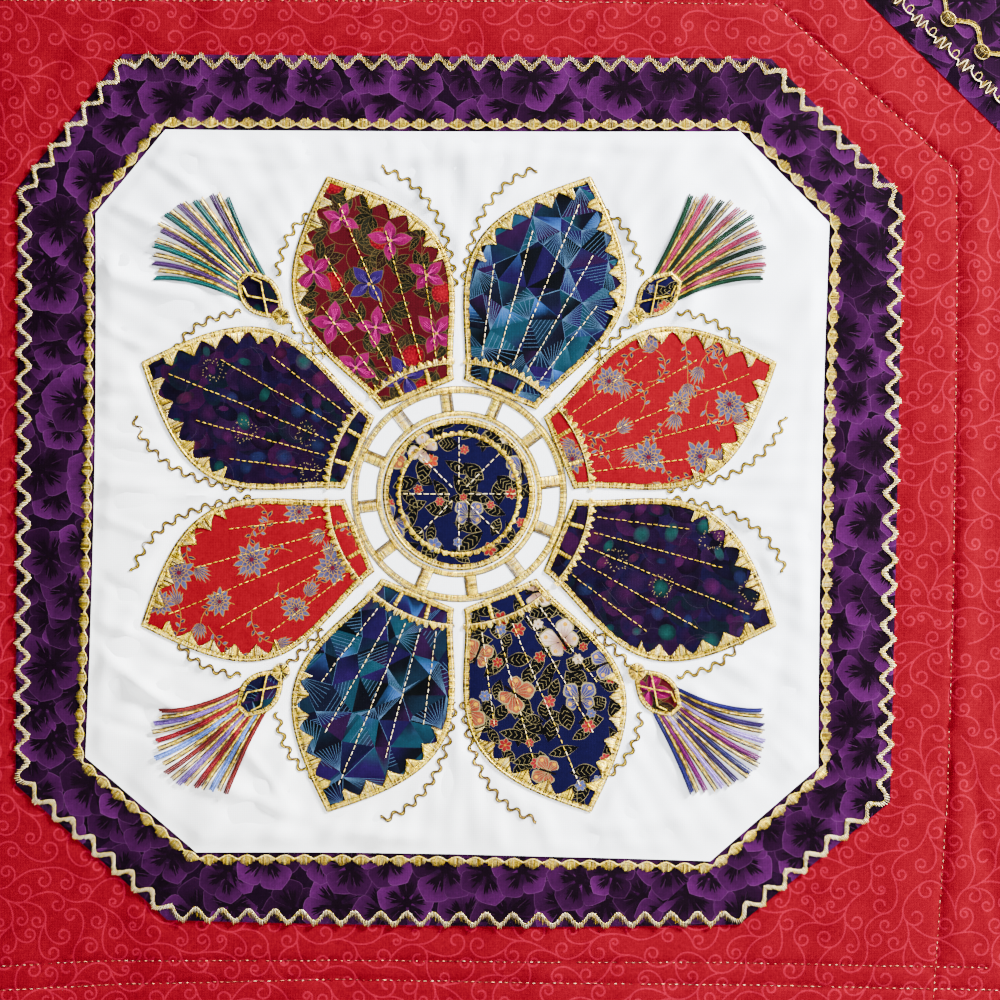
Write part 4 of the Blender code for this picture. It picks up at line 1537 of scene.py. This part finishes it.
def window_ring(arches, lines):
    """Rings and ribs, each rib pale on one side and dark on its other, shadow side as painted shade, with
    the white cloth showing between them like windows.
    """
    for radius, width in ((53.8, 3.2), (41.4, 2.4)):
        band = satin_row(circle(radius * MM), 0.0, width * MM, True)
        lay(arches, band, panel_front, FULL_GOLD)
    for radius in (53.9, 50.6, 41.5):
        couch(lines, circle(radius * MM), panel_front, DEEP_GOLD, 0.8, 0.1 * MM, True)
    for radius in (52.6, 40.4):
        couch(lines, circle(radius * MM), panel_front, BRIGHT_GOLD, 1.1, 0.35 * MM, True)
    ribs = 12
    for i in range(ribs):
        rib = radial(PETAL_TURN + TAU * (i + 0.5) / ribs, 41.2 * MM, 51.0 * MM)
        pale = satin_row(rib, -2.9 * MM, 1.4 * MM, False, SATIN_PITCH, 0.2 * MM)
        lay(arches, pale, panel_front, FULL_GOLD + BRIGHT_GOLD, 0.5 * MM)
        # Painted shade: the dark, shadow side of each rib.
        dark = satin_row(rib, 0.9 * MM, 2.9 * MM, False, SATIN_PITCH, 0.2 * MM)
        lay(arches, dark, panel_front, HATCHED_GOLD[2:4], 0.35 * MM, 1.12, 0.0, DEEP_GOLD)
        for side in (-3.0, 3.0):
            edge_line = beside(rib, side * MM)
            couch(lines, edge_line, panel_front, DEEP_GOLD, 0.7, 0.1 * MM)


def hub_rows(arches, lines, outline, front):
    """The hub's satin edge, a ring of knobs and eight spokes of running stitches."""
    satin_edge(arches, lines, outline, front, 2.6 * MM)
    knobs = circle(30 * MM)
    lay(arches, satin_row(
        knobs, lambda s: -1.6 * MM * abs(math.sin(math.pi * s / (4 * MM))) ** 0.7, 0.8 * MM,
        True), front, FULL_GOLD, 0.4 * MM)
    for i in range(8):
        running_stitches(
            arches, radial(PETAL_TURN + TAU * (i + 0.5) / 8, 6 * MM, 27 * MM), front, girth=1.1)


def tendril(lines, spine, front):
    """A small gold wave along a curling line, dark on both its sides."""

    def swing(s):
        return 1.35 * MM * math.tanh(1.3 * math.sin(TAU * s / (7.2 * MM))) / math.tanh(1.3)

    core = beside(spine, swing, False, 0.55 * MM)
    couch(lines, core, front, FULL_GOLD, 1.5, 0.1 * MM)
    for side in (-0.6 * MM, 0.6 * MM):
        brink = beside(spine, lambda s: swing(s) + side, False, 0.55 * MM)
        couch(lines, brink, front, DEEP_GOLD + HATCHED_GOLD[1:2], 1.35, 0.2 * MM)


def curl(start, angle, bend, length, tightening=0.0, steps=60):
    """A line that leaves a point at an angle and turns more and more."""
    points = [start]
    step = length / steps
    for i in range(steps):
        angle += bend * step * (1.0 + tightening * i / steps)
        points.append(points[-1] + direction(angle) * step)
    return points


STRAND_SETS = [
    inks("#023F3E", "#301740", "#004342", "#381F4A"),
    inks("#0E301F", "#89284A", "#0A2016", "#921D4B"),
    inks("#191356", "#5E0355", "#9574CA", "#28124E"),
    inks("#5C1717", "#654797", "#680917", "#5774C3"),
]


def bud_strands(coloured, gold_lines, index, front):
    """Strands that spread from a bud, coloured and gold by turns, each of three threads, the side threads
    darker as painted shade of a round cord.
    """
    angle = bud_angle(index)
    across = direction(angle + math.pi / 2)
    palette = STRAND_SETS[index]
    strands = 17
    for strand in range(strands):
        spread = (strand - (strands - 1) / 2) / ((strands - 1) / 2)
        gold = strand % 2 == 1
        ink = palette[(strand // 2) % len(palette)]
        start = HUB + direction(angle) * (149 - 6 * abs(spread)) * MM + across * spread * 7.4 * MM
        length = (54 - 7 * abs(spread) ** 2) * MM * rng.uniform(0.97, 1.02)
        bend = 5.5 * spread + 3.0 * (-1) ** index + jitter(0.5)
        for shift in (-1.0, 0.0, 1.0):
            path = curl(
                start + across * shift * 0.62 * MM, angle + spread * 0.27 + shift * 0.007,
                bend, length * rng.uniform(0.99, 1.01), 0.8, 44)
            height = (0.85 + 0.2 * (1.0 - shift ** 2)) * MM
            placed = on_cloth(path, front, height * smooth(3.0 * np.linspace(0.0, 1.0, len(path))))
            if gold:
                # Painted shade and highlight: dark gold on the side threads, bright gold in the middle one.
                tones = DEEP_GOLD[3:] + HATCHED_GOLD if shift else 2 * FULL_GOLD + BRIGHT_GOLD
                gold_lines.add(placed, [rng.choice(tones) for _ in path], 0.0, 1.45)
                continue
            # Painted shade: the side threads of a coloured strand are darker.
            shade = 1.0 - 0.35 * abs(shift) + jitter(0.1)
            coloured.add(placed, [tuple(c * shade for c in ink)] * len(path), 0.0, 1.65)


def bud_knot(arches, lines, index, front):
    """A gold knot at a bud's stem, and two crossing rows over the bud."""
    angle = bud_angle(index)
    middle = HUB + direction(angle) * 125.5 * MM
    spokes = []
    for i in range(44):
        out = direction(TAU * i / 44)
        spokes.append((middle + out * 0.7 * MM, middle + out * (4.4 + jitter(0.25)) * MM))
    lay(arches, spokes, front, FULL_GOLD + HATCHED_GOLD, 0.5 * MM, 1.1, 0.5 * MM)
    ring = [middle + direction(-TAU * i / 36) * 4.3 * MM for i in range(36)]
    couch(lines, ring, front, BRIGHT_GOLD, 1.0, 0.6 * MM, True)
    along = direction(angle)
    across = direction(angle + math.pi / 2)
    for side in (-1.0, 1.0):
        row = [
            HUB + along * r * MM + across * side * offset * MM
            for r, offset in ((131, -4.5), (138, 0.0), (145, 4.8), (150, 3.0))]
        couch(lines, divided(row, 1 * MM), front, FULL_GOLD, 1.6, 0.6 * MM)


# Materials

def new_material(name):
    material = bpy.data.materials.new(name)
    material.use_nodes = True
    tree = material.node_tree
    return material, tree, tree.nodes["Principled BSDF"]


def weave_height(tree, spacing, grain):
    """Two crossing sets of fine bands with uneven yarns, in metres of the piece's own space."""
    place = add_node(tree, "ShaderNodeTexCoord").outputs["Object"]
    across = add_node(tree, "ShaderNodeTexWave", {
        "Vector": place, "Scale": 0.314 / spacing, "Distortion": 0.6, "Detail": 1.0,
        "Detail Scale": 2.0}, bands_direction="X")
    along = add_node(tree, "ShaderNodeTexWave", {
        "Vector": place, "Scale": 0.314 / spacing, "Distortion": 0.6, "Detail": 1.0,
        "Detail Scale": 2.0}, bands_direction="Z")
    crossed = add_node(tree, "ShaderNodeMath", {
        0: across.outputs["Fac"], 1: along.outputs["Fac"]}, operation="ADD")
    uneven = add_node(tree, "ShaderNodeTexNoise", {"Vector": place, "Scale": 1.0 / grain, "Detail": 3.0})
    return place, add_node(tree, "ShaderNodeMath", {
        0: crossed.outputs[0], 1: uneven.outputs["Fac"]}, operation="ADD").outputs[0]


def printed_cotton(name, mottle, mottle_size, roughness=0.85):
    """Printed quilting cotton: a matt plain weave whose dye takes unevenly, which gives the eye
    soft mottling and a faint grain. Its real yarns are 0.35 mm apart and are drawn 0.8 mm apart,
    so that they show."""
    material, tree, cloth = new_material(name)
    ink = add_node(tree, "ShaderNodeAttribute", attribute_name="ink")
    place, height = weave_height(tree, 0.8 * MM, 1.1 * MM)
    clouds = add_node(tree, "ShaderNodeTexNoise", {
        "Vector": place, "Scale": 1.0 / mottle_size, "Detail": 5.0, "Roughness": 0.7})
    tone = add_node(tree, "ShaderNodeMapRange", {
        "Value": clouds.outputs["Fac"], "From Min": 0.3, "From Max": 0.7,
        "To Min": 1.0 - mottle, "To Max": 1.0 + mottle})
    yarn = add_node(tree, "ShaderNodeMapRange", {
        "Value": height, "From Min": 0.6, "From Max": 2.4, "To Min": 0.92, "To Max": 1.08})
    shade = add_node(tree, "ShaderNodeMath", {
        0: tone.outputs[0], 1: yarn.outputs[0]}, operation="MULTIPLY")
    dyed = add_node(tree, "ShaderNodeVectorMath", {
        0: ink.outputs["Color"], "Scale": shade.outputs[0]}, operation="SCALE")
    bump = add_node(tree, "ShaderNodeBump", {
        "Height": height, "Strength": 0.25, "Distance": 0.12 * MM})
    tree.links.new(dyed.outputs[0], cloth.inputs["Base Color"])
    tree.links.new(bump.outputs[0], cloth.inputs["Normal"])
    cloth.inputs["Roughness"].default_value = roughness
    cloth.inputs["Specular IOR Level"].default_value = 0.02
    return material


def white_cotton(name):
    """Plain white cotton, bleached and pressed: matt, with a painted light tint, cool towards its upper
    right where the key light falls and a little warmer towards its lower left as painted shade, with a grain
    drawn at 0.9 mm for its 0.35 mm yarns."""
    material, tree, cloth = new_material(name)
    place, height = weave_height(tree, 0.9 * MM, 1.4 * MM)
    clouds = add_node(tree, "ShaderNodeTexNoise", {"Vector": place, "Scale": 1.0 / 0.09, "Detail": 2.0})
    parts = add_node(tree, "ShaderNodeSeparateXYZ", {0: place})
    upward = add_node(tree, "ShaderNodeMath", {
        0: parts.outputs["X"], 1: parts.outputs["Z"]}, operation="ADD")
    swayed = add_node(tree, "ShaderNodeMath", {
        0: clouds.outputs["Fac"], 1: 0.3, 2: upward.outputs[0]}, operation="MULTIPLY_ADD")
    # Painted light: a tint by place, cooler at the upper right and warmer at the lower left.
    painted_light_tint = add_node(tree, "ShaderNodeMapRange", {
        "Value": swayed.outputs[0], "From Min": -0.36, "From Max": 0.02})
    tone = add_node(tree, "ShaderNodeMix", {
        "Factor": painted_light_tint.outputs[0], 6: (*linear("#F2F4F6"), 1.0), 7: (*linear("#EEF4FF"), 1.0)},
        data_type="RGBA")
    bump = add_node(tree, "ShaderNodeBump", {"Height": height, "Strength": 0.2, "Distance": 0.1 * MM})
    tree.links.new(tone.outputs[2], cloth.inputs["Base Color"])
    tree.links.new(bump.outputs[0], cloth.inputs["Normal"])
    cloth.inputs["Roughness"].default_value = 0.88
    cloth.inputs["Specular IOR Level"].default_value = 0.05
    return material


def sewing_thread(name, metallic, roughness, relief):
    """Embroidery thread: smooth filaments in two twisted plies, each stitch a little lighter or darker, and
    lighter or darker every 0.7 mm along its twist as painted sheen, with painted glints, besides the sheen
    that metallic or rayon thread has."""
    material, tree, thread = new_material(name)
    ink = add_node(tree, "ShaderNodeAttribute", attribute_name="ink")
    place = add_node(tree, "ShaderNodeTexCoord").outputs["Object"]
    twist = add_node(tree, "ShaderNodeTexNoise", {"Vector": place, "Scale": 1.0 / (0.7 * MM), "Detail": 2.0})
    # Painted sheen and glints: the twist noise scales the ink from 0.42 to 1.6 times.
    tone = add_node(tree, "ShaderNodeMapRange", {
        "Value": twist.outputs["Fac"], "From Min": 0.34, "From Max": 0.66, "To Min": 0.42, "To Max": 1.6})
    dyed = add_node(tree, "ShaderNodeVectorMath", {
        0: ink.outputs["Color"], "Scale": tone.outputs[0]}, operation="SCALE")
    bump = add_node(tree, "ShaderNodeBump", {
        "Height": twist.outputs["Fac"], "Strength": relief, "Distance": 0.15 * MM})
    tree.links.new(dyed.outputs[0], thread.inputs["Base Color"])
    tree.links.new(bump.outputs[0], thread.inputs["Normal"])
    thread.inputs["Metallic"].default_value = metallic
    thread.inputs["Roughness"].default_value = roughness
    thread.inputs["Specular IOR Level"].default_value = 0.12
    return material


def matt_floor(name):
    """Pale painted floor: matt, with the faintest cloudiness."""
    material, tree, floor = new_material(name)
    place = add_node(tree, "ShaderNodeTexCoord").outputs["Object"]
    clouds = add_node(tree, "ShaderNodeTexNoise", {"Vector": place, "Scale": 3.0, "Detail": 2.0})
    tone = add_node(tree, "ShaderNodeMix", {
        "Factor": clouds.outputs["Fac"], 6: (*linear("#DCDCDA"), 1.0), 7: (*linear("#E2E2E0"), 1.0)},
        data_type="RGBA")
    tree.links.new(tone.outputs[2], floor.inputs["Base Color"])
    floor.inputs["Roughness"].default_value = 0.8
    return material


SEWING = sewing_tree()
RED_COTTON = printed_cotton("granular_dyed_red_cotton", 0.22, 1.6 * MM)
PURPLE_COTTON = printed_cotton("purple_batik_cotton", 0.25, 3.0 * MM, 0.78)
WHITE_COTTON = white_cotton("pressed_white_cotton")
GOLD_THREAD = sewing_thread("metallic_gold_thread", 0.45, 0.34, 0.7)
RAYON_THREAD = sewing_thread("bright_rayon_thread", 0.0, 0.42, 0.4)
QUILTING_THREAD = sewing_thread("cream_cotton_thread", 0.0, 0.65, 0.3)

# The printed cottons: how each is printed, its plain color, its finish and its running stitches
Cotton = namedtuple("Cotton", "make_print plain finish threads")
COTTONS = {
    "maroon_print": Cotton(
        maroon_print, linear("#2F040A"),
        printed_cotton("maroon_printed_cotton", 0.18, 2.5 * MM), RIB_GOLD),
    "teal_print": Cotton(
        facet_print, linear("#050C18"),
        printed_cotton("blue_faceted_printed_cotton", 0.22, 3.5 * MM), CREAM),
    "scarlet_print": Cotton(
        scarlet_print, linear("#5F000C"),
        printed_cotton("scarlet_printed_cotton", 0.15, 2.5 * MM), RIB_GOLD),
    "plum_print": Cotton(
        plum_print, linear("#0B041C"),
        printed_cotton("plum_batik_cotton", 0.35, 4.0 * MM, 0.8), RIB_GOLD[:2]),
    "navy_print": Cotton(
        navy_print, linear("#060420"),
        printed_cotton("navy_printed_cotton", 0.18, 2.5 * MM), RIB_GOLD + CREAM),
}
PETAL_PRINTS = [
    "maroon_print", "teal_print", "scarlet_print", "plum_print", "navy_print", "teal_print",
    "scarlet_print", "plum_print"]
BUD_PRINTS = ["plum_print", "navy_print", "maroon_print", "teal_print"]


# The cloths

def finish(piece, material=None, node=None):
    if material:
        piece.data.materials.clear()
        piece.data.materials.append(material)
    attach(piece, BODY)
    if node:
        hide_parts(node)
    return piece


def hang_cloth(piece, material, node):
    """Dresses a cloth that is sewn onto another, over the solid that it stands for."""
    finish(piece, material, node)
    return piece


def make_ground():
    near_frame = inset(FRAME_OUTLINE, 4 * MM)
    fill = grid_points(GROUND_OUTLINE, 4 * MM, lambda x, z: ~is_inside(x, z, near_frame))
    fill += grid_points(near_frame, 12 * MM)
    for line in QUILTING:
        for offset in (-3.4, -2.2, -1.1, 0.0, 1.1, 2.2, 3.4):
            fill += [
                p for p in beside(line, offset * MM, False, 4 * MM)
                if is_inside(np.array(p.x), np.array(p.y), GROUND_OUTLINE)]
    return printed_cloth(
        "ground_cloth", GROUND_OUTLINE, ground_front, lift, scroll_print(), linear("#57000D"), fill,
        linear("#550C16"))


def make_sheet(name, outline, front, shapes, plain, spacing):
    """A sewn-on cloth of even thickness, with its points at a spacing over its front."""
    return printed_cloth(
        name + "_cloth", outline, front, lambda x, z: front(x, z) - PIECE_SHEET, shapes, plain,
        grid_points(outline, spacing))


def make_purple(name, outline, front, seed):
    shapes = purple_print(outline, seed)
    return make_sheet(name, outline, front, shapes, linear("#0A010C"), 3 * MM)


def add_flower_piece(name, outline, print_name, seed):
    """A printed piece of the flower, sewn to the panel; the result is its front's height."""
    front = make_petal_front(outline)
    cotton = COTTONS[print_name]
    piece = make_sheet(name, outline, front, cotton.make_print(outline, seed), cotton.plain, 3 * MM)
    hang_cloth(piece, cotton.finish, name)
    return front


ground = finish(make_ground(), RED_COTTON, "ground")
quilting = Threads()
for line, share in zip(QUILTING, (0.46, 0.42, 0.50)):
    running_stitches(quilting, line, ground_front, 3.4 * MM, share, FADED_PINK, 0.85)
    # Painted shade: a dark unbroken line under the stitches, standing for the ditch's shadow.
    running_stitches(quilting, line, ground_front, 3.4 * MM, 1.0, PAINTED_DITCH_SHADE, 0.45)
quilting_piece = sew("quilting_stitches", quilting, QUILTING_THREAD)
finish(quilting_piece)

for index, name in enumerate(STRIPS):
    outline = strip_outline(index)
    piece = make_purple(name, inset(outline, SEAM), strip_front, 40 + index)
    hang_cloth(piece, PURPLE_COTTON, name)

panel = make_sheet(
    "white_panel", inset(PANEL_OUTLINE, SEAM), panel_front, [], linear("#F4F6F9"), 2 * MM)
hang_cloth(
    panel, WHITE_COTTON, "panel")

outline = counter_clockwise(divided(PATCH_OUTLINE + PATCH_OUTLINE[:1], 4 * MM)[:-1])
patch = make_purple("corner_patch", outline, patch_front, 60)
hang_cloth(
    patch, PURPLE_COTTON, "corner_patch")

edge_arches, edge_lines, point_arches, running = Threads(), Threads(), Threads(), Threads()
for index, print_name in enumerate(PETAL_PRINTS):
    angle = petal_angle(index)
    outline = leaf_outline(angle, PETAL_START, PETAL_TIP, petal_half_width, 40)
    front = add_flower_piece(
        f"petal_{index + 1}", outline, print_name, 70 + index)
    satin_edge(edge_arches, edge_lines, outline, front)
    petal_points(point_arches, edge_lines, outline, front)
    petal_scallops(point_arches, edge_lines, angle, front)
    petal_hems(point_arches, angle, front)
    petal_running_stitches(running, angle, front, COTTONS[print_name].threads)

hub_outline = counter_clockwise(circle(HUB_RADIUS, 72))
hub_front = add_flower_piece("hub", hub_outline, "navy_print", 90)

bud_lines = Threads()
for index, print_name in enumerate(BUD_PRINTS):
    angle = bud_angle(index)
    outline = leaf_outline(angle, BUD_START, BUD_TIP, bud_half_width, 24)
    front = add_flower_piece(
        f"bud_{index + 1}", outline, print_name, 100 + index)
    satin_edge(edge_arches, edge_lines, outline, front, 2.0 * MM)
    bud_strands(bud_lines, edge_lines, index, panel_front)
    bud_knot(point_arches, edge_lines, index, front)
    tendril(edge_lines, radial(angle, 96 * MM, 128 * MM, 12), panel_front)
    for side in (-1.0, 1.0):
        start = HUB + direction(angle + side * 0.09) * 142 * MM
        tendril(edge_lines, curl(start, angle + side * 0.9, side * 10.0, 48 * MM, 4.0), panel_front)

for index in range(4):
    angle = math.pi / 2 * index
    for side in (-1.0, 1.0):
        start = HUB + direction(angle + side * 0.02) * 104 * MM
        tendril(edge_lines, curl(start, angle + side * 0.12, side * 3.0, 74 * MM, 9.0), panel_front)

window_ring(point_arches, edge_lines)
hub_rows(point_arches, edge_lines, hub_outline, hub_front)
wave_arches, wave_lines, bead_arches, patch_arches = Threads(), Threads(), Threads(), Threads()
frame_wave(wave_arches, wave_lines)
frame_beads(bead_arches, wave_lines)
patch_rows(patch_arches, wave_lines)

for name, threads, material, slot, arched in (
        ("petal_edge_satin", edge_arches, GOLD_THREAD, "gold_thread", True),
        ("petal_point_satin", point_arches, GOLD_THREAD, "gold_thread", True),
        ("frame_wave_satin", wave_arches, GOLD_THREAD, "gold_thread", True),
        ("frame_bead_satin", bead_arches, GOLD_THREAD, "gold_thread", True),
        ("corner_patch_satin", patch_arches, GOLD_THREAD, "gold_thread", True),
        ("flower_gold_lines", edge_lines, GOLD_THREAD, "gold_thread", False),
        ("frame_gold_lines", wave_lines, GOLD_THREAD, "gold_thread", False),
        ("petal_running_stitches", running, QUILTING_THREAD, "colored_thread", True),
        ("bud_strands", bud_lines, RAYON_THREAD, "colored_thread", False)):
    finish(sew(name, threads, material, arched))


# Floor, light and camera

def make_floor():
    mesh = bpy.data.meshes.new("floor")
    half, top = 3.0, -GROUND_HEIGHT - 0.08
    mesh.from_pydata(
        [(-half, -half, top), (half, -half, top), (half, half, top), (-half, half, top)], [],
        [(0, 1, 2, 3)])
    mesh.materials.append(matt_floor("pale_painted_floor"))
    link("floor", mesh)


def make_light(name, place, target, size, power):
    data = bpy.data.lights.new(name, "AREA")
    data.shape = "SQUARE"
    data.size = size
    data.energy = power
    light = link(name, data)
    light.location = place
    light.rotation_euler = (Vector(target) - Vector(place)).to_track_quat("-Z", "Y").to_euler()


def make_camera():
    data = bpy.data.cameras.new("camera")
    data.lens = 85.0
    data.sensor_width = 36.0
    camera = link("camera", data)
    camera.location = (0.0, -1.186, -0.270)
    camera.rotation_euler = (math.radians(90.0), 0.0, 0.0)
    bpy.context.scene.camera = camera


make_floor()
middle = (0.0, 0.0, -GROUND_HEIGHT / 2)
make_light("key", (1.40, -0.68, 0.90), middle, 0.35, 357.0)
make_light("fill", (-1.2, -1.9, -0.1), middle, 1.4, 14.5)
make_light("behind", (0.6, 1.9, 0.8), middle, 1.5, 66.0)
world = bpy.data.worlds.new("studio")
world.use_nodes = True
world.node_tree.nodes["Background"].inputs["Color"].default_value = (0.9, 0.92, 0.95, 1.0)
world.node_tree.nodes["Background"].inputs["Strength"].default_value = 0.42
bpy.context.scene.world = world
make_camera()
